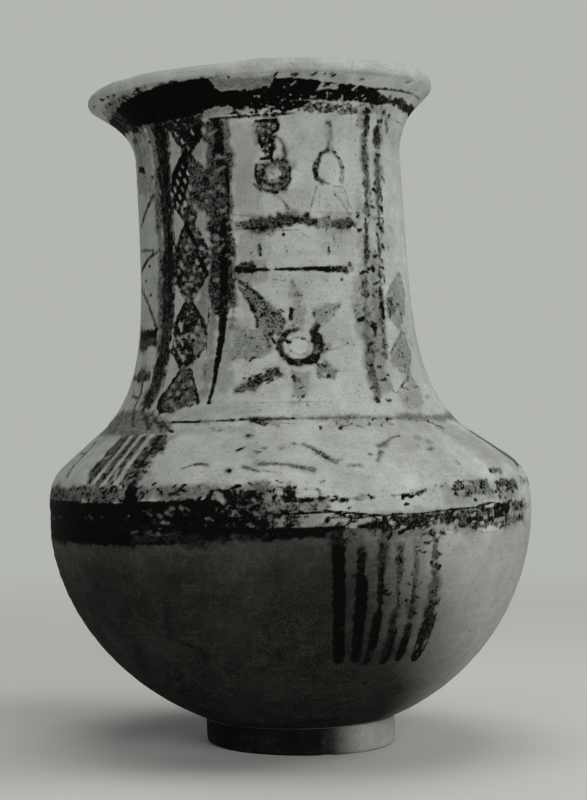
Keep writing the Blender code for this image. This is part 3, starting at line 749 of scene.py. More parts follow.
# %% The star
def paint_star(canvas):
    heart = (8.4, 153.4)
    turns = np.radians(np.arange(85, 330, 15))
    ring = [(heart[0] + 7.4 * math.cos(t), heart[1] + 6.0 * math.sin(t)) for t in turns]
    stroke(canvas, "paint", ring, (1.6, 2.8, 2.4), 0.78)
    stroke(canvas, "wash", ring, (1.6, 2.6, 2.4), 0.85)
    right_side = ((13.4, 148.4), (15.6, 151.4), (15.8, 155), (14.8, 158.6), (16.6, 160.4))
    stroke(canvas, "paint", right_side, (3.0, 3.8, 2.2), 0.76)
    stroke(canvas, "wash", right_side, (3.0, 3.6, 2.2), 0.85)
    # small teeth round the ring's outside
    for i in range(13):
        turn = math.radians(120 + 17 * i)
        tooth = (heart[0] + 8.4 * math.cos(turn), heart[1] + 6.6 * math.sin(turn))
        stroke(canvas, "paint", (tooth,), 0.9 + 0.3 * math.sin(5 * i), 0.8)
    crumble(canvas, 1, 16, 147, 160, 0.12, (-0.6, -0.3), 51)
    strokes(canvas, (
        (((10, 147.2), (14.4, 147.6)), 1.8, 0.84), (((3.6, 147.6), (4.6, 146.8)), 1.2, 0.9),
        (((-1.6, 156.4), (-0.8, 154.6)), 1.2, 0.9), (((3.4, 155.5), (5.2, 154.7)), 1.1, 0.9),
        (((9.6, 156.2), (10.8, 155.9)), 1.1, 0.85), (((4.4, 154.4), (5.2, 152), (6.6, 151.2)), 0.6, 0.45),
        ((heart,), 5.0, -1.0), (oval(heart, 4.2, 3.3), 1.0, 0.42),
    ))
    rays = (
        (((-14.2, 177.4), (-9, 174.8), (-4, 171), (0, 167.5), (3.6, 163.4), (2, 158), (-2.6, 156.6),
          (-7.4, 161.4), (-9.2, 167.4), (-11.4, 171.4), (-14.6, 176)), 0.38),
        (((6.3, 177.6), (9.2, 176), (12.6, 166), (12, 161), (6, 161)), 0.2),
        (((15, 166), (22, 170), (27, 168.8), (20.5, 162), (16.5, 161)), 0.24),
        (((19, 152), (29, 154.4), (29, 156), (18.6, 154.4)), 0.22),
        (((14.4, 147), (20, 147.6), (24.6, 143.6), (20, 141), (14.6, 143)), 0.36),
        (((4.6, 144.6), (11.6, 144), (9, 136), (5, 132.4)), 0.24),
        (((0, 146), (-3, 145.6), (-8, 143.8), (-16, 137.6), (-16, 136.4), (-8, 138), (2, 142.6)), 0.5),
        (((-18, 163), (-4, 160), (-1, 156), (-2, 150), (-10, 148.6), (-18, 149)), 0.27),
    )
    for points, load in rays:
        stain(canvas, points, load + 0.1, load + 0.05)
    outlines = (
        (((-13.8, 177.4), (-9, 174.8), (-5.4, 171.6)), (2.4, 1.2), 0.8),
        (((-5.4, 171.6), (0, 167.6), (3.6, 163.4)), (1.0, 0.7), 0.5),
        (((-14, 176), (-11, 171), (-9.2, 168.4)), (2.0, 1.6), 0.66),
        (((-9.4, 168.8), (-8.6, 166.8)), 2.0, 0.95), (((-7.6, 165), (-7.4, 161)), 1.5, 0.72),
        (((-6.6, 172.4), (-5.2, 171.2)), 1.2, 0.95), (((-1.2, 166), (-0.4, 165)), 1.4, 0.8),
        (((-7.2, 161.2),), 1.6, 0.95), (((-3.8, 158), (-3.6, 154.6)), 1.4, 0.62),
        (((6.3, 177.6), (6.0, 170), (6.0, 161)), 0.7, 0.45), (((6.3, 166.8), (6.0, 163.4)), 1.8, 0.97),
        (((6.9, 161),), 1.3, 0.9), (((7.6, 177.4), (8.2, 175.6)), 1.3, 0.55),
        (((9.2, 175.4), (10.8, 171), (12.4, 166.4)), 0.8, 0.5), (((15.2, 165.4),), 1.5, 0.8),
        (((20.4, 165.6),), 1.0, 0.8), (((27, 168.6), (24, 165.2), (21, 162.4), (18.4, 160.4)), 0.8, 0.46),
        (((22.6, 169.4), (17.4, 165)), 0.7, 0.35),
        (((18.6, 151.4), (23.6, 152.4), (28.8, 154.2)), 0.9, 0.55), (((24.2, 152.8),), 1.3, 0.85),
        (((19.4, 152.1),), 1.3, 0.85), (((28.4, 154.1),), 1.1, 0.75), (((26.6, 155.6),), 1.0, 0.6),
        (((14.6, 143), (16.8, 141.7), (20.4, 141.2)), 1.1, 0.7), (((18.2, 142.1),), 2.0, 0.95),
        (((19.6, 147.4), (23.4, 143.6)), 0.8, 0.5), (((16.6, 146.6), (20.6, 145)), 1.0, 0.6),
        (((4.8, 143.4), (5.0, 138), (4.9, 134.8)), 0.9, 0.42), (((5.3, 142), (5.6, 141)), 1.5, 0.9),
        (((6.9, 141.4), (7.3, 140.4)), 1.1, 0.75), (((4.7, 135),), 1.5, 0.7), (((7.9, 134.8),), 1.4, 0.95),
        (((11.4, 143.4), (10, 139), (9, 136), (7.4, 134), (4.6, 132)), 0.8, 0.45),
        (((-10.4, 141.2), (-7.4, 140)), 2.6, 0.8), (((-5.6, 140.8), (-2, 142.2)), 1.8, 0.7),
        (((-2, 144.6), (-8, 143)), 1.2, 0.6), (((-15, 138.2), (-10, 141.8)), 1.0, 0.45),
        (((-16.2, 136.6), (-8, 138.1), (-3, 140.4), (2, 142.7)), 0.8, 0.55),
        (((28.2, 136.7),), 1.3, 0.7), (((28, 135), (30, 132)), 1.0, 0.3),
    )
    strokes(canvas, [(points, width, load * 0.86) for points, width, load in outlines])
    area(canvas, "wash", ((-18, 166), (-10, 165), (-3, 158), (-3, 149), (-18, 148)), 0.25)
    area(canvas, "wash", ((-14, 177), (-9, 174.8), (-5.4, 171.6), (-8, 169), (-11.4, 171.4)), 0.6)
    for seed, (left, right, low, high, share) in enumerate((
        (-16, -3, 149, 161, 0.12), (-9, 3, 156, 168, 0.12), (6.6, 11.6, 161, 176, 0.08),
        (16, 26, 161, 169, 0.08), (18, 29, 151.6, 156, 0.1), (14.6, 23, 141.4, 147, 0.12),
        (5, 11, 133, 144, 0.1), (-14, 0, 138.4, 145.4, 0.2),
    )):
        crumble(canvas, left, right, low, high, share, (0.3, 0.75), 60 + seed)
    stroke(canvas, "paint", ((-19, 132.6), (0, 133.0), (18, 132.6)), 0.6, 0.42)
    box(canvas, "paint", -26, 20, 127.5, 132.6, 0.17)
    crumble(canvas, -26, 34, 128, 132.4, 0.05, (0.3, 0.7), 70)
    box(canvas, "wash", -30, -8, 128, 136, 0.12)


# %% [markdown]
# Where the neck meets the shoulder a line was drawn on the turning wheel, sharp at the left and broad and
# grey at the right. Below it the shoulder is almost bare: one dark field with three pale lines left in
# it, a few thin pulls of a nearly dry brush, and smears.


# %% The neck's foot and the shoulder
def paint_shoulder(canvas):
    strokes(canvas, (
        (((-48, 126), (-36, 126.4)), 1.8, 0.55), (((-36, 126.4), (-26, 126.3)), 1.2, 0.9),
        (((-26, 126.3), (-19, 126.5)), 0.6, 0.7), (((-20, 126.5), (-10, 126.9)), 1.1, 0.8),
        (((-11, 126.9), (4, 126.9)), (1.4, 1.8), 0.64), (((3, 126.8), (22, 126.7)), 1.6, 0.36),
        (((22, 126.6), (42, 126.4)), 1.8, 0.22),
        (((42, 126.4), (60, 126), (80, 126.4)), (2.4, 3.0, 3.2), 0.16),
        (((-9.6, 126.4), (-5, 124.8)), 1.2, 0.8), (((0, 125.4), (4, 125)), 1.2, 0.5),
    ))
    line = ((-26, 126.4), (2, 126.8), (30, 126.7), (45, 126.4), (60, 126), (80, 126.4))
    stroke(canvas, "wash", line, (1.0, 1.9, 2.2, 2.6, 3.2, 3.4), 0.8)
    for left, right, low, high, load, thick in (
        (0, 36, 123.2, 126, 0.16, 0.14), (14, 36, 123.6, 126, 0.24, 0.3), (36, 52, 123.6, 125.8, 0.18, 0.14),
        (-32, 0, 123, 126, 0.1, 0.08), (52, 66, 121.6, 125, 0.2, 0.1),
    ):
        box(canvas, "paint", left, right, low, high, load)
        crumble(canvas, left, right, low, high, thick, (0.45, 0.8), left + 60)
    box(canvas, "wash", 14, 50, 122, 126, 0.2)
    # grey smears down the left side of the neck's foot
    smear = ((-79, 131), (-57, 131.6), (-48, 131), (-40, 128), (-36, 126.4), (-35, 121.5), (-79, 122))
    area(canvas, "paint", smear, 0.4)
    area(canvas, "wash", ((-79, 131), (-48, 131), (-36, 126), (-35, 121.5), (-79, 122)), 0.42)
    for start, high, low, load in (
        (-77, 130, 126, 0.4), (-72, 131, 124.5, 0.5), (-66, 129.6, 126, 0.45), (-60, 130.6, 125, 0.6),
        (-54, 131, 127, 0.66), (-50, 128, 123.4, 0.62), (-45, 127.6, 123, 0.66), (-41, 126, 122.6, 0.7),
    ):
        stroke(canvas, "paint", ((start, high), (start + 7, low)), (2.6, 1.4), load)
    # the dark field, darker along its sides
    field = (
        (-55.6, 120.4), (-52.6, 122), (-36, 122.4), (-34.2, 120), (-34, 109), (-36, 104.8), (-53, 105),
        (-54, 108), (-54.8, 113),
    )
    stain(canvas, field, 0.52, 0.8)
    strokes(canvas, (
        (((-54.6, 120), (-53.6, 110)), 1.6, 0.8), (((-37.4, 121.4), (-37, 104)), 2.6, 0.76),
        (((-38.6, 118), (-38.6, 106)), 1.6, 0.66), (((-43.2, 112.6), (-43.6, 106.4)), 1.2, 0.86),
    ))
    # each patch is left, right, low, high, and the shares with thick flakes and with none
    patches = (
        (-52, -49.8, 105.4, 112.6, 0.6, 0.1), (-54, -49.6, 112, 121, 0.16, 0.04),
        (-48.8, -46, 105.4, 113, 0.3, 0.3), (-48.8, -46, 113, 121, 0.12, 0.04),
        (-44.6, -42.2, 105.4, 112, 0.2, 0.3), (-44.6, -42.2, 112, 121, 0.14, 0),
        (-40, -37, 105, 112, 0.3, 0.3), (-40.4, -36, 112, 122, 0.26, 0.16),
        (-36.4, -34, 107, 121.6, 0.2, 0.3),
    )
    for seed, (left, right, low, high, thick, bare) in enumerate(patches):
        crumble(canvas, left, right, low, high, thick, (0.7, 0.98), 200 + seed)
        crumble(canvas, left, right, low, high, bare, (-0.9, -0.4), 220 + seed)
    # the three pale lines, and a short one beside the third
    for points, width in (
        (((-49.8, 121.4), (-49.2, 115), (-49, 110), (-50.2, 105.4)), 1.9),
        (((-45.6, 121.4), (-45.2, 113), (-45, 109), (-46.2, 105.4)), 1.9),
        (((-41.4, 121), (-41.2, 112), (-41, 108), (-42.2, 105)), 2.6),
        (((-43.6, 110.4), (-43.2, 107)), 1.0),
    ):
        stroke(canvas, "paint", points, width, -1.0)
        stroke(canvas, "wash", points, width, -0.95)
    # dry strokes, dots and scuffs on the pale slip
    marks = (
        (((-72, 119.6), (-69.6, 118), (-68.4, 114), (-67, 110), (-66, 107.6)), 1.8, 0.5),
        (((-76, 115.8), (-68.6, 115.2)), 1.1, 0.42), (((-73, 113), (-68, 111.4)), 1.1, 0.36),
        (((-24.6, 110.3), (-22.6, 111.2), (-20.4, 111.8), (-18.6, 111.4)), 1.4, 0.52),
        (((-6.2, 111), (-3.4, 111.3), (0.6, 110.7), (3.6, 109.6), (6.2, 108.8)), 1.6, 0.5),
        (((-9.6, 110.3), (-8, 109.8), (-6, 108.8)), 1.4, 0.6), (((-5, 109), (-1, 107.8)), 0.8, 0.42),
        (((5.4, 117.6), (8, 115.5), (10, 113.2), (12.2, 110.8)), 1.5, 0.48),
        (((12.2, 111.6), (13.8, 111.9)), 1.0, 0.42), (((-9.5, 121),), 1.4, 0.85),
        (((-12.8, 109.3),), 1.5, 1.0), (((3, 118),), 1.4, 0.5), (((-0.6, 116.3),), 1.3, 0.5),
        (((-4.8, 116.5),), 1.3, 0.45), (((34, 119.7), (31, 119), (27.6, 116.8), (25.4, 116)), 1.5, 0.46),
        (((25.2, 114.4), (22.4, 111)), 1.2, 0.42), (((21.6, 113.4),), 1.2, 0.55),
        (((39.8, 114.2), (41.6, 114.8)), 1.6, 0.46), (((37.4, 115.8),), 1.0, 0.4),
        (((42.6, 117.3),), 1.6, 0.34), (((39.4, 118.6), (41, 119.2)), 1.6, 0.3),
        (((44.8, 109),), 2.4, 0.32), (((-18.2, 123),), 1.2, 0.7),
        (((14.6, 109.6), (17.6, 109.8)), 1.6, 0.33), (((55, 105), (60, 105.2)), 1.8, 0.46),
        (((74, 106), (88, 106.2)), 0.8, 0.5), (((77, 108.2), (88, 108)), 0.8, 0.5),
    )
    for points, width, load in marks:
        stroke(canvas, "paint", points, width * 1.25, load)
        stroke(canvas, "wash", points, width * 1.25, load)
    area(canvas, "paint", ((-10.6, 119), (-6.4, 119), (-6.6, 114), (-9.4, 114)), 0.22)
    crumble(canvas, -11, -6, 113.5, 119.5, 0.14, (0.35, 0.7), 230)
    area(canvas, "paint", ((-32, 124), (-8, 125.6), (-8, 122.5), (-32, 121.6)), 0.24)
    area(canvas, "wash", ((53.4, 122), (68, 124), (72, 107), (55, 105)), 0.2)
    for start in (56, 60, 64):
        stroke(canvas, "paint", ((start, 121), (start + 1.5, 108)), 1.2, 0.27)


# %% [markdown]
# The belly band covers the joint between the two halves of the body. It is three rings of paint side by
# side: a worn upper stripe, a black band, and a thin lower one that frays out over the bare bowl. At the
# left it is still whole, and towards the right it breaks into flakes along a crack.


# %% The belly band
def paint_belly_band(canvas):
    stain(canvas, ((-95, 104.2), (-60, 104.5), (-38.5, 104.2), (-38.5, 98.6), (-95, 99.2)), 0.5, 0.66)
    area(canvas, "paint", (
        (-95, 99.6), (-60, 99.5), (-50, 99.2), (-38.6, 99), (-38.8, 104.4), (-35.6, 104.6), (-34.6, 99.4),
        (-18.4, 99.9), (-16.6, 103), (-12, 103.6), (-9, 102.2), (-5.4, 102.4), (-5.4, 98), (-8, 95),
        (-5.6, 93), (-4, 87.4), (-12, 87.2), (-19, 84.2), (-37, 83.6), (-45, 83.5), (-60, 84.2), (-95, 85.4),
    ), 0.98)
    worn = ((-37.2, 88.4), (-30, 88.8), (-24, 87.6), (-19, 87.6), (-19, 84.6), (-28, 84.2), (-37.2, 84.2))
    stain(canvas, worn, -0.55, 0.9)
    # the ground has taken stain under it, so bare places look grey
    box(canvas, "wash", -95, -12, 83.6, 99.4, 0.97)
    box(canvas, "wash", -12, -5, 84.4, 103, 0.86)
    box(canvas, "wash", -18, 8, 84.4, 99.4, 0.56)
    area(canvas, "wash", ((-36, 104.8), (-5, 105.2), (-5, 99), (-17, 99), (-35, 99.6)), 0.74)
    area(canvas, "paint", ((-18, 99.4), (-18, 104), (-5, 104), (-5, 99), (-11, 98.6)), -0.2)
    # each patch is left, right, low, high, a thin load, and the shares with thick flakes and with none
    patches = (
        (-92, -56, 99.6, 104, 0, 0.16, 0), (-56, -38, 99.8, 104.2, 0, 0.22, 0.1),
        (-46, -39, 102.2, 104.4, 0, 0.5, 0), (-78, -60, 92.4, 94.2, 0, 0, 0.3),
        (-54, -44, 92.8, 94.6, 0, 0, 0.3), (-39, -36, 92.8, 95.2, 0, 0, 0.4),
        (-36, -16, 99.8, 104.9, 0.3, 0.16, 0.1), (-30, -21, 100.4, 103.2, 0, 0.3, 0),
        (-36, -20, 104.2, 105.2, 0, 0.3, 0), (-34, -19, 95, 97.4, 0, 0, 0.42),
        (-34, -27, 89.2, 95, 0, 0, 0.2), (-20, -8, 89.4, 97, 0, 0, 0.16),
        (-37, -19, 84.4, 88.6, 0, 0.16, 0), (-19, -5, 84.2, 87.2, 0.45, 0.2, 0.1),
        (-16, -5.6, 96, 103, 0, 0.1, 0.26), (-14, -5, 102.6, 105, 0.3, 0.16, 0),
        (-14, -4, 88, 95, 0, 0, 0.2), (-12, 8, 86.8, 89.4, 0.4, 0.2, 0),
        (-5.6, -1, 95, 104.4, 0.4, 0.2, 0.05), (-1.2, 2, 97.5, 103.2, 0.9, 0, 0.2),
        (-2, 8, 102.8, 105.6, 0.2, 0.2, 0), (2, 7, 101.2, 102.8, 0.8, 0, 0.1),
        (2, 7, 97.4, 99.2, 0.9, 0, 0.1), (6.2, 7.4, 98, 102, 0.7, 0, 0),
        (7.4, 14, 96.8, 99.6, 0.36, 0.5, 0.2), (-12, 6, 93.4, 97.6, 0.5, 0.3, 0.16),
        (6, 20, 94, 96.8, 0.2, 0.08, 0), (10, 17, 97.2, 99.4, 0.46, 0.3, 0.14),
        (16.6, 18.4, 97, 99, 0.3, 0.4, 0), (23, 30, 97.8, 99.4, 0.5, 0.4, 0),
        (-6, 3, 89.2, 93.2, 0.62, 0.4, 0.16), (3, 7, 89.4, 92.6, 0.4, 0.3, 0.1),
        (7, 13.4, 89.2, 93.2, 0.5, 0.46, 0.14), (13.4, 20, 88.8, 92, 0.6, 0.4, 0.14),
        (-5, 8.8, 84.6, 87, 0.94, 0, 0.08), (12, 20, 83.6, 87, 0.4, 0.3, 0.2),
        (14, 20.6, 86.6, 89.2, 0.97, 0, 0.05), (20, 34, 86.2, 91.2, 0.76, 0.2, 0.1),
        (34, 43, 86, 91.4, 0.66, 0.24, 0.1), (43, 52, 88, 91.8, 0.64, 0.26, 0.12),
        (43, 52, 86, 88.4, 0.86, 0, 0.12), (52, 59.6, 86.8, 92.8, 0.9, 0, 0.1),
        (59.6, 69, 88, 93, 0.6, 0.16, 0.1), (69, 76, 88.4, 90.6, 0.34, 0, 0),
        (20, 34, 83.4, 86.2, 0.24, 0.2, 0.1), (34, 45, 83.2, 86, 0.36, 0.24, 0.1),
        (45, 57, 83.4, 86.4, 0.6, 0.26, 0.08), (57, 69, 84, 87.4, 0.5, 0.2, 0),
        (28, 35, 98, 100.2, 0.34, 0.34, 0.1), (34, 40, 99, 101.8, 0.24, 0.24, 0.1),
        (39.6, 51.6, 96.4, 102.2, 0.5, 0.26, 0.14), (51.6, 54, 96.4, 98.2, 0.6, 0.2, 0),
        (54, 65.6, 96.8, 101.6, 0.6, 0.2, 0.06), (55, 60.4, 103.8, 106, 0.2, 0.2, 0),
        (69, 88, 98.2, 101.6, 0.4, 0.1, 0.1), (24, 50, 92.4, 95, 0.16, 0.1, 0),
        (50, 64, 93, 96.6, 0.3, 0.12, 0.1),
    )
    # flakes have come off more cleanly at the right, where the paint was thinner
    for seed, (left, right, low, high, load, thick, bare) in enumerate(patches):
        lifts = (-0.8, -0.4) if left < -5 else (-1.0, -0.5)
        box(canvas, "paint", left, right, low, high, load)
        crumble(canvas, left, right, low, high, thick, (0.7, 1.0), seed)
        crumble(canvas, left, right, low, high, bare, lifts, 100 + seed)
    box(canvas, "wash", 36, 66, 93, 102, 0.3)
    box(canvas, "wash", 20, 70, 83.4, 93, 0.42)
    box(canvas, "wash", 7, 22, 84, 93, 0.4)
    stroke(canvas, "paint", ((-12, 88.2), (0, 87.8), (12, 88.0)), (2.2, 1.5), 1.0)
    stroke(canvas, "paint", ((22.4, 92), (24.6, 92)), 1.2, 1.0)
    # the crack, a dark hair line with a flaked pale edge above it
    crack = (
        (-14, 93), (-6, 93.4), (4, 93.8), (8, 94.1), (11, 93.7), (15, 92.7), (20, 91.5), (30, 91.4),
        (40, 92), (45, 91.8), (48, 92.8), (52, 93.1), (56, 91.8),
    )
    stroke(canvas, "paint", [(a, h + 1.0) for a, h in crack[3:]], 0.6, -0.8)
    stroke(canvas, "paint", crack, 0.8, 0.96)
    # pale scars where larger flakes have gone
    for points, width in (
        (((3, 100.2), (6.2, 100.4)), 1.7), (((52.4, 100.6), (53.4, 98.8)), 2.6), (((4, 91), (6, 90.8)), 2.4),
        (((-14.8, 100.4), (-14, 98.8)), 2.2), (((15.6, 85.4),), 3.2), (((19, 85.2),), 2.4),
        (((15, 89.6), (17, 90)), 1.8), (((60.2, 92), (60.8, 88)), 0.9),
        (((11.4, 90.6), (12.4, 87), (13.6, 83)), 0.8), (((21.4, 91), (22.8, 86.4)), 0.8),
        (((66, 102), (68, 96)), 3.0), (((9, 90.4), (12, 90.2)), 1.6),
    ):
        stroke(canvas, "paint", points, width, -0.85)
    stroke(canvas, "paint", ((12, 89), (13, 86), (14.2, 82.6)), 0.7, 0.8)


# %% [markdown]
# Six strokes hang from the band over the bare bowl. The painter pulled a loaded brush downward six times,
# and each stroke ends in a rounded drop. The first three kept their paint, and the last three have worn
# to a grey film with dark edges and drops.


# %% The six hanging strokes
def paint_hanging_strokes(canvas, shift=0.0, wear=1.0):
    """The six strokes. On the back they are shifted round the jar, and wear thins their load."""
    runs = (
        (((10.3, 87.5), (10.1, 80)), 4.6, 0.62), (((10.1, 80), (10.2, 60)), (4.8, 4.4), 1.0),
        (((10.2, 60), (10.9, 40.4)), (4.4, 4.0), 1.0),
        (((15.2, 79), (15.2, 69)), 4.2, 0.66), (((15.2, 69), (15.3, 55)), 4.6, 1.0),
        (((15.3, 55), (15.6, 40)), (4.4, 3.8), 0.86),
        (((19.9, 80.5), (19.8, 70)), 2.6, 0.5), (((19.8, 72), (19.8, 56)), 3.0, 0.72),
        (((19.8, 56), (19.7, 45)), 3.4, 0.97), (((18.9, 46), (18.8, 38.4)), 1.3, 0.95),
        (((19.9, 46), (19.7, 40)), 2.6, 0.55),
        (((24.3, 79), (24.4, 58)), 3.2, 0.48), (((24.2, 58), (24.2, 41)), 3.4, 0.54),
        (((25.4, 50), (25.0, 40)), 1.2, 0.85), (((25.1, 40.6), (24.5, 38.4), (23.6, 38.2)), 1.8, 0.96),
        (((28.2, 78), (28.3, 66)), 2.8, 0.36), (((28.2, 66), (28.3, 60)), 1.8, 0.6),
        (((28.4, 60), (28.5, 52)), 3.0, 0.46), (((28.6, 52), (28.7, 46)), 3.4, 0.68),
        (((28.7, 46), (28.8, 39.4)), 3.6, 0.82),
        (((32.2, 84.5), (33.4, 81.4), (33, 79), (33.6, 75.4)), 2.6, 0.6),
        (((32.6, 73), (34.8, 71.6)), 2.6, 0.66), (((33.4, 70), (34, 68)), 2.2, 0.5),
        (((34, 66), (34.3, 56)), 3.8, 0.38), (((34.3, 57), (34.4, 46)), 4.0, 0.6),
        (((34.4, 46), (34.4, 39)), (4.2, 3.6), 0.7), (((32.6, 50), (32.9, 40)), 0.9, 0.82),
        (((36.4, 55), (36.1, 41)), 0.9, 0.82), (oval((34.4, 39.4), 1.2, 1.7), 1.2, 0.95),
    )
    for points, width, load in runs:
        stroke(canvas, "paint", [(a + shift, h) for a, h in points], width, load * wear)
    stroke(canvas, "paint", ((34.4 + shift, 39.6),), 1.0, -0.3)
    stroke(canvas, "paint", ((10.9 + shift, 52), (12.0 + shift, 52)), 1.6, -0.55)
    # the grey film that each stroke has left in the clay
    for points, width, load in (
        (((10.2, 88), (10.1, 78)), 4.6, 0.8), (((15.2, 84), (15.2, 68)), 4.4, 0.85),
        (((19.9, 84), (19.8, 56), (19.4, 40)), 3.6, 0.85), (((24.3, 80), (24.4, 58), (24.1, 40)), 3.6, 0.72),
        (((28.3, 80), (28.4, 60), (28.8, 41)), 3.6, 0.6), (((33.8, 70), (34.3, 56), (34.4, 40)), 4.2, 0.66),
    ):
        stroke(canvas, "wash", [(a + shift, h) for a, h in points], width, load * wear)
    for seed, (left, right, low, high, share) in enumerate((
        (31.8, 34.8, 71, 85, 0.4), (13, 31, 60, 83, 0.1), (22.8, 36, 44, 62, 0.14),
    )):
        crumble(canvas, left + shift, right + shift, low, high, share, (0.45, 0.95), 80 + seed)
    if shift == 0:
        box(canvas, "wash", 12, 31, 58, 84, 0.3)
        crumble(canvas, 24, 40, 50, 62, 0.05, (-0.9, -0.5), 84)
        # painted shade: a dark wash on the left of the foot, where it stands in shade
        box(canvas, "wash", -110, 14, -1, 9.5, 0.8)
        # smears on the bare clay, and spots under the strokes
        strokes(canvas, (
            (((-30.6, 65), (-31.2, 58), (-33.2, 50)), 3.6, 0.36),
            (((-30, 47), (-25.4, 45), (-25, 41)), 2.8, 0.42), (((20.2, 31), (20.9, 30)), 2.0, 0.5),
            (((30.4, 31.6), (33, 30.4)), 1.6, 0.42), (((37, 29.8), (41, 29.6)), 1.0, 0.36),
        ))


# %% [markdown]
# The back isn't in the photograph. Such jars repeat their panels all round, so the same stripes, chains,
# bars and strokes continue there at other places, worn in the same way.


# %% The unseen back
def paint_back(canvas):
    # a shape is measured from its first corner, so one that goes far round starts in its middle
    for points, load in (
        (((180, 249), (285, 246.3), (285, 240.4), (180, 240), (75, 243.1), (75, 245.8)), 0.85),
        (((180, 103), (267, 104.2), (267, 99.4), (180, 98.6), (90, 99.4), (90, 101.6)), 0.52),
        (((180, 97), (240, 99), (267, 99.8), (267, 85.2), (180, 85), (94, 87.4), (97, 94), (110, 95)), 0.8),
    ):
        area(canvas, "paint", points, load)
    flaked = ((95, 180, 86, 97), (180, 262, 86, 98), (95, 262, 99, 104))
    for seed, (left, right, low, high) in enumerate(flaked):
        crumble(canvas, left, right, low, high, 0.1, (-1.0, -0.6), 300 + seed)
    box(canvas, "wash", 180, 267, 85, 104, 0.6)
    box(canvas, "wash", 95, 180, 86, 103, 0.3)
    stroke(canvas, "paint", ((80, 128), (180, 127.4), (281, 126.6)), 2.2, 0.55)
    # two stripes with a lozenge chain between them, three times
    for middle in (109, 188, 256):
        for start in (middle - 15, middle + 11):
            points = ((start, 239.5), (start - 0.6, 190), (start - 2.4, 150), (start - 3.2, 132))
            stroke(canvas, "paint", points, (4.2, 3.6), 0.68)
            stroke(canvas, "wash", points, 4.2, 0.5)
        strip = (
            (middle - 9.5, 240), (middle + 7, 240), (middle + 6, 165), (middle + 4.6, 132),
            (middle - 12.6, 132), (middle - 10.6, 165),
        )
        area(canvas, "paint", strip, 0.62)
        for top in (236.5, 208.5, 179, 152):
            drift = (236.5 - top) * 0.035
            left, right = middle - 9.4 - drift, middle + 6.6 - drift
            area(canvas, "paint", ((left, top), (left - 0.4, top - 15.6), (left + 5.8, top - 8)), -1.0)
            area(canvas, "paint", ((right, top - 2), (right, top - 15), (right - 6.2, top - 8.6)), -1.0)
    # two bars, a star and two jugs in each of two panels
    star_height = 156
    for middle in (146, 220):
        box(canvas, "paint", middle - 20, middle + 20, 197, 200.6, 0.62)
        box(canvas, "wash", middle - 20, middle + 20, 197, 200.6, 0.7)
        stroke(canvas, "paint", ((middle - 20, 182), (middle + 18, 181.6)), (2.2, 1.6), 0.8)
        stroke(canvas, "paint", oval((middle, star_height), 7.4, 5.8), 2.2, 0.8)
        for i in range(8):
            turn = math.tau * (i + 0.3) / 8
            ray = [
                (middle + across * math.cos(turn + lean), star_height + up * math.sin(turn + lean))
                for across, up, lean in ((9.5, 8, -0.3), (20, 19, 0), (9.5, 8, 0.3))
            ]
            area(canvas, "paint", ray, 0.36)
            stroke(canvas, "paint", ray, 0.8, 0.55)
        for jug in (middle - 9, middle + 8):
            stroke(canvas, "paint", oval((jug, 217), 4.8, 4.8), 2.6, 0.7)
            neck = ((jug - 3.6, 235), (jug + 3.6, 235), (jug + 1.2, 222), (jug - 1.2, 222))
            area(canvas, "paint", neck, 0.6)
            stroke(canvas, "paint", ((jug + 3.4, 231), (jug + 6.4, 228), (jug + 6, 222.6)), 1.3, 0.65)
    # dark fields on the shoulder, each with three pale lines
    for start in (75, 150, 225):
        stain(canvas, ((start, 121), (start + 20, 121), (start + 21, 105), (start - 1, 105)), 0.5, 0.6)
        for i in range(3):
            line = ((start + 5 + 4.5 * i, 121.4), (start + 4.6 + 4.6 * i, 105))
            stroke(canvas, "paint", line, 2.0, -1.0)
            stroke(canvas, "wash", line, 2.0, -1.0)
    paint_hanging_strokes(canvas, 120.0, 0.9)
    paint_hanging_strokes(canvas, 232.0, 0.85)


def paint_jar(canvas):
    """All the painting, in the order in which it was laid."""
    paint_back(canvas)
    paint_left_panel(canvas)
    paint_left_stripes(canvas)
    paint_right_stripes(canvas)
    paint_jugs(canvas)
    paint_bars(canvas)
    paint_star(canvas)
    paint_rim_band(canvas)
    paint_shoulder(canvas)
    paint_belly_band(canvas)
    paint_hanging_strokes(canvas)


print("painting written down")

# %% [markdown]
# Materials come next. Colours are written as sRGB hex values, as an eye or a colour picker reads them,
# and one function turns them to the linear values that the renderer wants. Another adds a node with its
# settings and its links, so that each material reads as a list of steps.


# %% Two helpers for materials
def linear(hex_colour):
    """An sRGB hex colour as linear red, green, blue and alpha."""
    parts = [int(hex_colour[i:i + 2], 16) / 255 for i in (1, 3, 5)]
    return (*((c / 12.92 if c <= 0.04045 else ((c + 0.055) / 1.055) ** 2.4) for c in parts), 1.0)


def add(tree, kind, inputs=(), **settings):
    """Adds a node. An input is set to a value, or linked where a socket is given."""
    node = tree.nodes.new(kind)
    for name, value in settings.items():
        setattr(node, name, value)
    for key, value in dict(inputs).items():
        if isinstance(value, bpy.types.NodeSocket):
            tree.links.new(value, node.inputs[key])
        else:
            node.inputs[key].default_value = value
    return node


print("linear value of #aaaea8:", [round(c, 3) for c in linear("#aaaea8")])
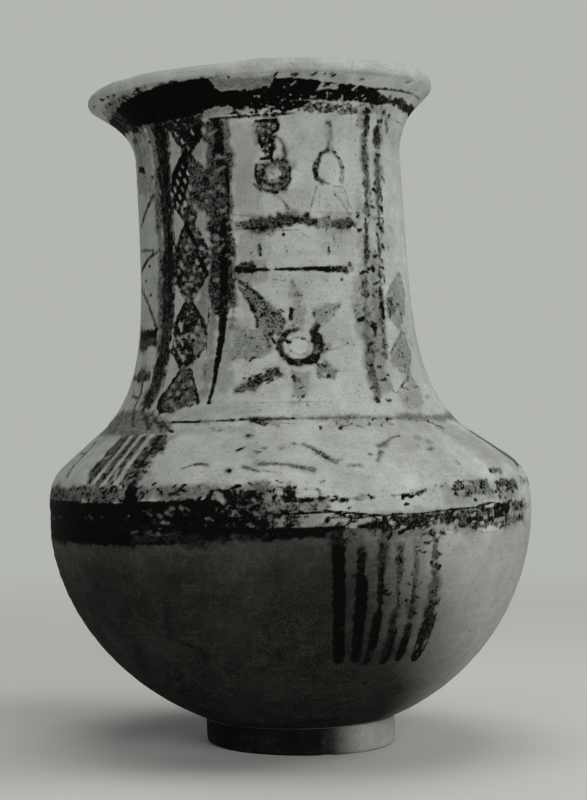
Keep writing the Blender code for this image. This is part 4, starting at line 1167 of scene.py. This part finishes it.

# %% [markdown]
# The jar is earthenware: coarse clay with grit in it, fired low, so it is matt and a little porous. The slip
# is a cream of fine clay brushed over it, which gives the eye a pale, chalky skin with wheel streaks and
# small pits. The bare clay is pale too, and the bowl is dark over most of it: partly smoke from an open fire,
# and partly painted shade on its left, while its right side, where the lamps fall, is left clean and pale as
# painted light. The paint sinks into the ground and wears off its high points first: a full load is black, a
# half load is a grey film with black and pale flecks of about a millimetre. Grit of 0.2 to 0.5 mm is near one
# pixel here, so it is drawn at 0.7 mm.


# %% The earthenware with smoke, painted shade, slip and paint
SPECKLE, MOTTLE, PATCH, BLOTCH, GRIT = 0.85, 2.6, 7.0, 24.0, 0.7
STREAK, SCRATCH = 1.4, 0.8
HOLD = {"speckle": 2.3, "mottle": 1.1, "patch": 0.8}
SLIP, SLIP_WORN = "#b6bab3", "#a0a49d"
CLAY = "#a0a39c"
# the smoked colours also serve as painted shade on the bowl's left side
SOOT_AND_SHADE, THIN_SOOT_AND_SHADE = "#11120f", "#30312d"
PAINT = "#080807"
# how far the uneven hold of the ground moves the edge of each layer
SMOKE_AND_SHADE_HOLD, SLIP_HOLD, WASH_HOLD, FLAKE_HOLD = 0.16, 0.4, 0.45, 0.9
SMOKE_AND_SHADE_CLOUD = 0.45  # how far broad clouds move the edge of the smoke
WASH_DEPTH = 0.86  # the share of the ground's light that a full wash takes away
SEEN_THROUGH = 0.003  # the share of the ground's light that full paint lets through
# paint is a film that thickens with the square of the load, and grains that start above a load
FILM, GRAIN_GAIN, GRAIN_START, GRAIN_HOLD = 0.45, 1.75, 0.92, 1.5
FLAKE_EDGE = 0.14
FULL_RANGE = {"To Min": 0.0, "To Max": 1.0}


def per_mm(size):
    """The texture scale, per metre, that makes features of this size in mm."""
    return 1 / (size * MM)


def earthenware(name, roughness, specular, bump_height):
    """Fired clay. The mesh says how much smoke with painted shade, slip, thin wash and paint lie at each
    point.
    """
    made = bpy.data.materials.new(name)
    made.use_nodes = True
    tree = made.node_tree
    shader = tree.nodes["Principled BSDF"]
    where = add(tree, "ShaderNodeTexCoord").outputs["Object"]
    load = {}
    for layer in ("paint", "wash", "slip", "smoke_and_painted_shade"):
        load[layer] = add(tree, "ShaderNodeAttribute", attribute_name=layer).outputs["Fac"]
    # wheel streaks and scratches are noise drawn out along the turning
    noise = {}
    for key, size, length, detail, rough in (
        ("speckle", SPECKLE, 1.0, 3.0, 0.62), ("mottle", MOTTLE, 1.0, 2.0, 0.5),
        ("patch", PATCH, 1.0, 3.0, 0.6), ("blotch", BLOTCH, 1.0, 4.0, 0.6), ("grit", GRIT, 1.0, 1.0, 0.5),
        ("streak", STREAK, 9.0, 3.0, 0.6), ("scratch", SCRATCH, 10.0, 2.0, 0.5),
    ):
        drawn = add(tree, "ShaderNodeMapping", {"Vector": where, "Scale": (1 / length, 1 / length, 1.0)})
        noise[key] = add(tree, "ShaderNodeTexNoise", {
            "Vector": drawn.outputs[0], "Scale": per_mm(size), "Detail": detail, "Roughness": rough,
        }).outputs[0]

    # fine and broad noise together, about zero, decide where smoke, slip and paint hold on
    hold = -sum(HOLD.values()) / 2
    for key, weight in HOLD.items():
        hold = add(tree, "ShaderNodeMath", {
            0: noise[key], 1: weight, 2: hold}, operation="MULTIPLY_ADD").outputs[0]
    cloud = add(tree, "ShaderNodeMath", {
        0: noise["blotch"], 1: 0.8, 2: -0.4}, operation="MULTIPLY_ADD").outputs[0]

    # bare clay under smoke and painted shade, which fade in soft clouds and are scratched a little
    smoke_and_painted_shade = add(tree, "ShaderNodeMath", {
        0: hold, 1: SMOKE_AND_SHADE_HOLD, 2: load["smoke_and_painted_shade"]}, operation="MULTIPLY_ADD").outputs[0]
    smoke_and_painted_shade = add(tree, "ShaderNodeMath", {
        0: cloud, 1: SMOKE_AND_SHADE_CLOUD, 2: smoke_and_painted_shade}, operation="MULTIPLY_ADD").outputs[0]
    smoke_and_painted_shade = add(tree, "ShaderNodeMapRange", {
        "Value": smoke_and_painted_shade, "From Min": 0.03, "From Max": 0.97, **FULL_RANGE}).outputs[0]
    thin = add(tree, "ShaderNodeMapRange", {
        "Value": hold, "From Min": -0.45, "From Max": 0.45, **FULL_RANGE}).outputs[0]
    soot_and_shade = add(tree, "ShaderNodeMix", {
        "Factor": thin, "A": linear(SOOT_AND_SHADE), "B": linear(THIN_SOOT_AND_SHADE)}, data_type="RGBA").outputs["Result"]
    bare = add(tree, "ShaderNodeMix", {
        "Factor": smoke_and_painted_shade, "A": linear(CLAY), "B": soot_and_shade}, data_type="RGBA").outputs["Result"]
    scuff = add(tree, "ShaderNodeMapRange", {
        "Value": noise["scratch"], "From Min": 0.62, "From Max": 0.76, "To Min": 0.0, "To Max": 0.05,
    }).outputs[0]
    bare = add(tree, "ShaderNodeMix", {
        "Factor": scuff, "A": bare, "B": linear(CLAY)}, data_type="RGBA").outputs["Result"]

    # slip over it, paler and darker in clouds
    tone = add(tree, "ShaderNodeMapRange", {
        "Value": noise["blotch"], "From Min": 0.35, "From Max": 0.65, **FULL_RANGE}).outputs[0]
    slip = add(tree, "ShaderNodeMix", {
        "Factor": tone, "A": linear(SLIP), "B": linear(SLIP_WORN)}, data_type="RGBA").outputs["Result"]
    slipped = add(tree, "ShaderNodeMath", {
        0: hold, 1: SLIP_HOLD, 2: load["slip"]}, operation="MULTIPLY_ADD").outputs[0]
    slipped = add(tree, "ShaderNodeMapRange", {
        "Value": slipped, "From Min": 0.4, "From Max": 0.6, **FULL_RANGE}).outputs[0]
    ground = add(tree, "ShaderNodeMix", {
        "Factor": slipped, "A": bare, "B": slip}, data_type="RGBA").outputs["Result"]

    # streaks, mottling, dark pits and dark hair lines
    shade = None
    for key, low, high, first, last in (
        ("streak", 0.30, 0.70, 0.95, 1.04), ("patch", 0.30, 0.70, 0.86, 1.08),
        ("speckle", 0.25, 0.75, 0.88, 1.08), ("grit", 0.64, 0.78, 1.0, 0.34),
        ("scratch", 0.20, 0.30, 0.78, 1.0),
    ):
        part = add(tree, "ShaderNodeMapRange", {
            "Value": noise[key], "From Min": low, "From Max": high, "To Min": first, "To Max": last,
        }).outputs[0]
        if shade is not None:
            part = add(tree, "ShaderNodeMath", {0: part, 1: shade}, operation="MULTIPLY").outputs[0]
        shade = part
    ground = add(tree, "ShaderNodeVectorMath", {0: ground, "Scale": shade}, operation="SCALE").outputs[0]

    # a thin wash only darkens the ground
    washed = add(tree, "ShaderNodeMath", {
        0: hold, 1: WASH_HOLD, 2: 0.9}, operation="MULTIPLY_ADD").outputs[0]
    washed = add(tree, "ShaderNodeMath", {
        0: washed, 1: load["wash"]}, operation="MULTIPLY", use_clamp=True).outputs[0]
    clear = add(tree, "ShaderNodeMath", {
        0: washed, 1: -WASH_DEPTH, 2: 1.0}, operation="MULTIPLY_ADD").outputs[0]
    ground = add(tree, "ShaderNodeVectorMath", {0: ground, "Scale": clear}, operation="SCALE").outputs[0]

    # paint is a thin film with thicker grains where the ground holds it, and has flaked off where it
    # doesn't, and it dims the ground below by the same share for each step of thickness
    some = add(tree, "ShaderNodeMapRange", {
        "Value": load["paint"], "From Min": 0.0, "From Max": 0.10, **FULL_RANGE}).outputs[0]
    kept = add(tree, "ShaderNodeMath", {
        0: hold, 1: FLAKE_HOLD, 2: load["paint"]}, operation="MULTIPLY_ADD").outputs[0]
    kept = add(tree, "ShaderNodeMapRange", {
        "Value": kept, "From Min": 0.0, "From Max": FLAKE_EDGE, "To Min": 0.0, "To Max": some}).outputs[0]
    thick = add(tree, "ShaderNodeMath", {
        0: load["paint"], 1: GRAIN_GAIN, 2: -GRAIN_START}, operation="MULTIPLY_ADD").outputs[0]
    thick = add(tree, "ShaderNodeMath", {
        0: hold, 1: GRAIN_HOLD, 2: thick}, operation="MULTIPLY_ADD").outputs[0]
    thick = add(tree, "ShaderNodeMath", {0: thick, 1: 0.0}, operation="MAXIMUM").outputs[0]
    film = add(tree, "ShaderNodeMath", {
        0: load["paint"], 1: load["paint"]}, operation="MULTIPLY").outputs[0]
    thick = add(tree, "ShaderNodeMath", {0: film, 1: FILM, 2: thick}, operation="MULTIPLY_ADD").outputs[0]
    thick = add(tree, "ShaderNodeMath", {0: thick, 1: kept}, operation="MULTIPLY").outputs[0]
    through = add(tree, "ShaderNodeMath", {0: SEEN_THROUGH, 1: thick}, operation="POWER").outputs[0]
    colour = add(tree, "ShaderNodeMix", {
        "Factor": through, "A": linear(PAINT), "B": ground}, data_type="RGBA").outputs["Result"]
    tree.links.new(colour, shader.inputs["Base Color"])

    # a grainy skin
    relief = add(tree, "ShaderNodeMath", {0: noise["grit"], 1: noise["streak"]}, operation="ADD").outputs[0]
    relief = add(tree, "ShaderNodeMath", {
        0: noise["patch"], 1: 1.5, 2: relief}, operation="MULTIPLY_ADD").outputs[0]
    bump = add(tree, "ShaderNodeBump", {"Height": relief, "Strength": 0.6, "Distance": bump_height * MM})
    tree.links.new(bump.outputs[0], shader.inputs["Normal"])
    shader.inputs["Roughness"].default_value = roughness
    shader.inputs["Specular IOR Level"].default_value = specular
    shader.inputs["IOR"].default_value = 1.5
    return made


# both darken the bare clay with smoke and painted shade, and leave its right side pale as painted light
body_clay = earthenware("earthenware_wheel_smoothed_slipped_smoked_and_painted_shade", 0.9, 0.04, 0.16)
foot_clay = earthenware("earthenware_foot_trimmed_smoked_and_painted_shade", 0.95, 0.04, 0.25)
print("materials:", body_clay.name, foot_clay.name)

# %% [markdown]
# Each section is now turned. A row of points goes up the outside and down the inside, and is swept round
# the axis at angles that are close together at the front, where the painting is seen, and wider behind.
# The sections meet in the middle of their luted joints, so the joints close up as they do in the fire.


# %% A function that turns a section and paints it
SLIP_EDGE = 84.2
SLIP_EDGE_RISE = 4.0  # how much higher the edge stands away from the jar's right side
INNER_SLIP_EDGE = 228.0
FRONT_HALF = 92  # degrees on each side that get the close steps
INSIDE_UNEVENNESS = 2.0  # how much rougher the inside is, because nobody smoothed it
SMOKE_INSIDE, SMOKE_UNDER_BOWL = 0.3, 0.8
bore = FOOT_RADIUS - FOOT_BAND


def angles_round(front_step, back_step):
    """Angles all the way round, close together in front and further apart behind."""
    front = np.arange(-FRONT_HALF, FRONT_HALF + 0.01, front_step)
    count = round((360 - 2 * FRONT_HALF) / back_step) + 1
    back = np.linspace(front[-1], front[0] + 360, count)[1:-1]
    return np.concatenate((front, back))


def smoke_and_painted_shade_on(angle, height):
    """How dark the bare clay is: smoke from the fire, and painted shade on the left. The clean side at the
    right, where the lamps fall, is painted light, and less of it stays clean lower down.
    """
    turn = degrees_between(angle, 0)
    # the soft border in front, which leans to the right as it comes down
    border = np.where(height < foot_height, 28, 57 - 0.55 * (height - 19))
    half_width = np.where(height < foot_height, 14, 25)
    # the border behind, which wavers
    behind = degrees_between(angle, 180) + 8 * np.sin(height / 13 + 1) + 3 * np.sin(height / 5)
    clean = ease(turn, border - half_width, border + half_width) * (1 - ease(behind, -64, -12))
    # under the belly band the smoke is a little thinner
    scuffed = ease(height, 62, 90) * (1 - ease(turn, 20, 75)) * 0.16
    return 1.0 - np.maximum(clean, scuffed)


def thrown(name, outside, inside, angles, material, replaced, dents=None):
    """Turns a closed outline: outside and inside are (radius, height) lines, up and then down."""
    radius = np.concatenate((outside[0], inside[0]))
    height = np.concatenate((outside[1], inside[1]))
    rows, columns = len(radius), len(angles)
    r = np.repeat(radius[:, None], columns, 1)
    z = np.repeat(height[:, None], columns, 1)
    a = np.repeat(angles[None, :], rows, 0)
    off = unevenness(z, a)
    off[len(outside[0]):] *= INSIDE_UNEVENNESS
    off *= ease(r, 0.0, 20.0)
    grown = r + off
    if dents is not None:
        grown, z = dents(grown, z, a)
    points = settle(grown, z, a).reshape(-1, 3) * MM
    index = np.arange(rows * columns).reshape(rows, columns)
    low, high = index[:-1], index[1:]
    quads = np.stack((low, np.roll(low, -1, 1), np.roll(high, -1, 1), high), -1).reshape(-1, 4)
    faces = quads.tolist()
    if radius[0] > 1.0:
        first, last = index[0], index[-1]
        closing = np.stack((last, np.roll(last, -1), np.roll(first, -1), first), -1)
        faces += closing.tolist()
    else:
        pole = len(points)
        ends = settle(np.zeros(2), np.array([height[0], height[-1]]), np.zeros(2)) * MM
        points = np.concatenate((points, ends))
        faces += [(pole, int(index[0, (i + 1) % columns]), int(index[0, i])) for i in range(columns)]
        faces += [(pole + 1, int(index[-1, i]), int(index[-1, (i + 1) % columns])) for i in range(columns)]
    mesh = bpy.data.meshes.new(name)
    mesh.from_pydata(points.tolist(), [], faces)
    mesh.shade_smooth()
    mesh.set_sharp_from_angle(angle=math.radians(40))

    count = len(outside[0])
    flat = {"angle": degrees_between(a, 0).ravel(), "height": np.repeat(height, columns),
            "radius": np.repeat(radius, columns)}
    canvas = {key: values[:count * columns] for key, values in flat.items()}
    run = np.cumsum(np.hypot(np.diff(outside[0], prepend=radius[0]), np.diff(outside[1], prepend=height[0])))
    canvas["arc"] = np.repeat(run + np.interp(height[0], out_z, out_arc), columns)
    across = np.radians(canvas["angle"]) * canvas["radius"]
    canvas["wander"] = ripples(across, canvas["arc"], 2.2, 8.0, 26, 5)
    canvas["drift"] = ripples(across, canvas["arc"], 9.0, 34.0, 22, 6)
    canvas["paint"], canvas["wash"] = np.zeros(count * columns), np.zeros(count * columns)
    paint_jar(canvas)
    # the slip ends just under the belly, and inside it ends a little way down the neck
    low_side = ease(canvas["angle"], 8, 44) * (1 - ease(canvas["angle"], 120, 178))
    edge = SLIP_EDGE + SLIP_EDGE_RISE * (1 - low_side)
    canvas["slip"] = ease(canvas["height"] - edge + 0.5 * canvas["drift"], -0.6, 0.6)
    inner_slip = ease(flat["height"], INNER_SLIP_EDGE - 6, INNER_SLIP_EDGE + 6)
    inner_smoke = np.where(flat["radius"] > bore, SMOKE_INSIDE, SMOKE_UNDER_BOWL)
    # outside, the smoke layer is smoke and painted shade, with a clean right side that is painted light
    for layer, within in (("paint", 0.0), ("wash", 0.0), ("slip", inner_slip), ("smoke_and_painted_shade", inner_smoke)):
        values = np.full(len(points), 1.0 if layer == "smoke_and_painted_shade" else 0.0)
        values[:rows * columns] = within
        values[:count * columns] = canvas.get(layer, smoke_and_painted_shade_on(canvas["angle"], canvas["height"]))
        mesh.attributes.new(layer, "FLOAT", "POINT").data.foreach_set("value", values)
    mesh.materials.append(material)
    piece = bpy.data.objects.new(name, mesh)
    bpy.context.scene.collection.objects.link(piece)
    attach(piece, "root")
    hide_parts(*replaced)
    print(name, len(mesh.polygons), "faces")


# %% [markdown]
# The foot ring was thrown or cut, stuck on, and smoothed against the bowl with a finger. Its lower edge has a
# chip at the front.

# %% The foot ring
fine = 1.0


def skin_under(radius):
    """The height of the bowl's round underside at this radius."""
    return BELLY - BOWL_DEPTH * np.sqrt(1 - (radius / BELLY_RADIUS) ** 2)


def foot_chip(r, z, a):
    """A flake broken from the foot's lower edge, at the front."""
    chip = np.exp(-(((a - 15) / 4.0) ** 4)) * ease(-z, -3.6, -0.4) * ease(r, FOOT_RADIUS - 4, FOOT_RADIUS)
    return r - 1.6 * chip, z


up_r = np.array([FOOT_RADIUS - FOOT_EDGE, FOOT_RADIUS - 0.3, FOOT_RADIUS, FOOT_RADIUS])
up_z = np.array([0.0, 0.5, FOOT_EDGE, foot_height - 0.4])
seat_r = np.linspace(FOOT_RADIUS, bore - FOOT_BORE_DRAFT, 8)
foot_out = stretch(up_r, up_z, 0.6)
foot_in = (
    np.concatenate((seat_r, [bore])),
    np.concatenate((skin_under(seat_r) - 0.25, [0.0])),
)
thrown("foot_ring_fired", foot_out, foot_in, angles_round(0.9, 1.8), foot_clay,
       ("foot_ring", "foot_luting"), foot_chip)

# %% [markdown]
# The bowl is bare clay, smoothed on the wheel but still matt. Its inside keeps deeper finger rings,
# because nobody smoothed it.

# %% The bowl
joint = BELLY - HALF_JOINT
BARE_BELOW = 34  # only a few faint spots lie below this height, so the rows there may be further apart
POLE = 0.4  # the innermost row's radius, from which the faces close to a point
bowl_turn = np.linspace(0, math.pi / 2, 200)
low_r, low_z = stretch(out_r[out_z <= BARE_BELOW], out_z[out_z <= BARE_BELOW], 2.2 * fine)
top_r, top_z = between(out_r, out_z, BARE_BELOW, joint, 0.72 * fine)
low_r[0] = POLE
bowl_out = (np.concatenate((low_r[:-1], top_r)), np.concatenate((low_z[:-1], top_z)))
lining_r = (BELLY_RADIUS - BOWL_WALL) * np.sin(bowl_turn)
lining_z = BELLY - (BOWL_DEPTH - BOWL_FLOOR) * np.cos(bowl_turn)
lining_r[0] = POLE
lip_r, lip_z = between(in_r, in_z, BELLY, joint + JOINT_RISE, 1.0)
down_r = np.concatenate((lip_r[::-1], lining_r[::-1]))
down_z = np.concatenate((lip_z[::-1], lining_z[::-1]))
bowl_in = stretch(down_r, down_z, 3.6)
thrown("bowl_fired", bowl_out, bowl_in, angles_round(0.46 * fine, 1.2), body_clay, ("bowl",))

# %% [markdown]
# Shoulder and neck are cut from the same outline, up the outside and down the inside. The shoulder is
# wider than the neck, so its steps round the jar are fewer degrees apart.

# %% The shoulder and the neck
neck_joint = NECK_FOOT - HALF_JOINT
rim_joint = RIM_FOOT - HALF_JOINT
for name, slot, replaced, low, high, step, inner_step, front_step, back_step in (
    ("shoulder_fired", "shoulder_slip", ("shoulder", "belly_luting"), joint, neck_joint, 0.6, 2.5, 0.40, 1.1),
    ("neck_fired", "neck_slip", ("neck", "neck_luting"), neck_joint, rim_joint, 0.6, 3.4, 0.62, 1.5),
):
    outside = between(out_r, out_z, low, high, step * fine)
    inside_r, inside_z = between(in_r, in_z, low + JOINT_RISE, high + JOINT_RISE, inner_step)
    angles = angles_round(front_step * fine, back_step)
    thrown(name, outside, (inside_r[::-1], inside_z[::-1]), angles, body_clay, replaced)

# %% [markdown]
# The rim was folded outward with the fingers and its lip rounded with a wet rag. It is the part that gets
# knocked, so its edge has small dents, and one little lump stands up at the front right.


# %% The rim
def rim_knocks(r, z, a):
    """Small dents along the lip, and one lump."""
    top = ease(z, lip_centre[1] - 1.0, lip_centre[1] + 2.6)
    # each is an angle, a reach in degrees and a depth in mm, and the lump is the negative one
    for at, size, depth in (
        (29, 2.2, -0.9), (33, 3.0, 0.7), (-48, 4, 0.5), (-12, 5, 0.35), (61, 4, 0.5), (112, 6, 0.9),
        (170, 4, 0.6), (-120, 5, 0.8),
    ):
        z = z - depth * top * np.exp(-((degrees_between(a, at) / size) ** 2))
    return r, z + 0.25 * top * np.sin(np.radians(a) * 7 + 1)


rim_r, rim_z = between(out_r, out_z, rim_joint, lip_start[1], 0.6 * fine)
lip_turn = math.atan2(rim_normal[1], rim_normal[0])
edge_r, edge_z = arc_points(lip_centre, lip_radius, lip_turn, lip_turn + math.pi, 16)
rim_out = (np.concatenate((rim_r[:-1], edge_r)), np.concatenate((rim_z[:-1], edge_z)))
inside_r, inside_z = between(in_r, in_z, rim_joint + JOINT_RISE, lip_start[1], 2.0)
rim_in = (inside_r[::-1][1:], inside_z[::-1][1:])
thrown("rim_fired", rim_out, rim_in, angles_round(0.5 * fine, 1.2), body_clay,
       ("rim", "rim_luting"), rim_knocks)

# %% [markdown]
# The camera stands level with the middle of the jar, 770 mm from its axis, because the jar's belly and
# foot are seen as a level eye sees them. A lens of 88 mm on a frame 36 mm high gives that picture, and a
# small shift frames the jar without tilting the camera.

# %% Camera
CAMERA_DISTANCE, CAMERA_HEIGHT = 0.770, 0.1264
FRAME_HEIGHT, LENS = 36.0, 87.75
camera_data = bpy.data.cameras.new("camera")
camera_data.sensor_fit = "VERTICAL"
camera_data.sensor_height = FRAME_HEIGHT
camera_data.lens = LENS
camera_data.shift_x = 0.0044
camera_data.shift_y = 0.025
camera_data.clip_start = 0.01
camera = bpy.data.objects.new("camera", camera_data)
camera.location = (0.0, -CAMERA_DISTANCE, CAMERA_HEIGHT)
camera.rotation_euler = (math.radians(90), 0, 0)
bpy.context.scene.collection.objects.link(camera)
bpy.context.scene.camera = camera
print("camera at", tuple(camera.location))

# %% [markdown]
# The jar stands on a pale paper floor. Near the jar the floor is real and takes its shadow, and further
# out it fades into the same pale grey that the world shows behind it, so that no edge is seen from any
# side. That grey is only what the camera and reflections see, and it adds no light to the jar.

# %% Floor and backdrop
BACKDROP, PAPER = "#b3b6b1", "#ced0cb"
FADE_FROM, FADE_TO, FLOOR_REACH = 0.20, 0.95, 4.0
FLOOR_SIDES = 48


def seen_or_mirrored(tree):
    """1 for what the camera sees, straight or in a reflection or through glass, and 0 for light itself."""
    path = add(tree, "ShaderNodeLightPath")
    either = add(tree, "ShaderNodeMath", {
        0: path.outputs["Is Camera Ray"], 1: path.outputs["Is Glossy Ray"]}, operation="MAXIMUM")
    return add(tree, "ShaderNodeMath", {
        0: either.outputs[0], 1: path.outputs["Is Transmission Ray"]}, operation="MAXIMUM").outputs[0]


rings = [0.15, 0.3, 0.6, 1.0, 2.0, FLOOR_REACH]
turns = np.linspace(0, math.tau, FLOOR_SIDES, endpoint=False)
verts = [(r * math.cos(t), r * math.sin(t), 0.0) for r in rings for t in turns] + [(0.0, 0.0, 0.0)]
faces = [(len(verts) - 1, i, (i + 1) % FLOOR_SIDES) for i in range(FLOOR_SIDES)]
for k in range(len(rings) - 1):
    inner, outer = k * FLOOR_SIDES, (k + 1) * FLOOR_SIDES
    for i in range(FLOOR_SIDES):
        j = (i + 1) % FLOOR_SIDES
        faces.append((inner + i, outer + i, outer + j, inner + j))
mesh = bpy.data.meshes.new("floor")
mesh.from_pydata(verts, [], faces)
paper = bpy.data.materials.new("backdrop_paper_matt")
paper.use_nodes = True
tree = paper.node_tree
shader = tree.nodes["Principled BSDF"]
shader.inputs["Base Color"].default_value = linear(PAPER)
shader.inputs["Roughness"].default_value = 0.95
shader.inputs["Specular IOR Level"].default_value = 0.1
place = add(tree, "ShaderNodeTexCoord")
away = add(tree, "ShaderNodeVectorMath", {0: place.outputs["Object"]}, operation="LENGTH")
fade = add(tree, "ShaderNodeMapRange", {
    "Value": away.outputs["Value"], "From Min": FADE_FROM, "From Max": FADE_TO, **FULL_RANGE},
    interpolation_type="SMOOTHSTEP")
fade = add(tree, "ShaderNodeMath", {0: fade.outputs[0], 1: seen_or_mirrored(tree)}, operation="MULTIPLY")
glow = add(tree, "ShaderNodeEmission", {"Color": linear(BACKDROP), "Strength": 1.0})
both = add(tree, "ShaderNodeMixShader", {0: fade.outputs[0], 1: shader.outputs[0], 2: glow.outputs[0]})
tree.links.new(both.outputs[0], tree.nodes["Material Output"].inputs["Surface"])
mesh.materials.append(paper)
floor = bpy.data.objects.new("floor", mesh)
bpy.context.scene.collection.objects.link(floor)
print("floor fades between", FADE_FROM, "and", FADE_TO, "m")

# %% [markdown]
# The light is a studio's: a soft low key lamp in front at the right, a higher one at the right side, a
# large one overhead, and a weak one at the left. Another weak one behind shows the jar's back, and there
# is hardly any even light. Most of it comes from the right and above, so the bowl's left side and its
# underside fall into shade.

# %% Lamps and world
POWER = {"key": 7.3, "top": 7.9, "side": 5.2, "fill": 2.7, "back": 2.4, "even": 0.03}


def lamp(name, place, target, size, power):
    """A soft square lamp that faces a point."""
    data = bpy.data.lights.new(name, "AREA")
    data.shape = "SQUARE"
    data.size = size
    data.energy = power
    thing = bpy.data.objects.new(name, data)
    thing.location = place
    way = np.array(target) - np.array(place)
    tilt = math.acos(-way[2] / np.linalg.norm(way))
    thing.rotation_euler = (tilt, 0, math.atan2(way[1], way[0]) - math.pi / 2)
    bpy.context.scene.collection.objects.link(thing)


JAR_MIDDLE = (0, 0, 0.12)
lamp("key_lamp", (0.51, -1.09, 0.42), JAR_MIDDLE, 0.6, POWER["key"])
lamp("side_lamp", (1.02, -0.09, 0.82), JAR_MIDDLE, 0.6, POWER["side"])
lamp("top_lamp", (0.0, 0.0, 1.35), JAR_MIDDLE, 1.0, POWER["top"])
lamp("fill_lamp", (-1.0, -0.55, 0.35), (0, 0, 0.16), 0.8, POWER["fill"])
lamp("back_lamp", (-0.60, 1.05, 0.60), JAR_MIDDLE, 0.8, POWER["back"])
world = bpy.data.worlds.new("even_light_and_backdrop")
world.use_nodes = True
tree = world.node_tree
light = tree.nodes["Background"]
light.inputs["Color"].default_value = (1, 1, 1, 1)
light.inputs["Strength"].default_value = POWER["even"]
shown = add(tree, "ShaderNodeBackground", {"Color": linear(BACKDROP), "Strength": 1.0})
both = add(tree, "ShaderNodeMixShader", {0: seen_or_mirrored(tree), 1: light.outputs[0], 2: shown.outputs[0]})
tree.links.new(both.outputs[0], tree.nodes["World Output"].inputs["Surface"])
bpy.context.scene.world = world
bpy.context.scene.view_settings.view_transform = "Standard"
print("lamps:", ", ".join(POWER))
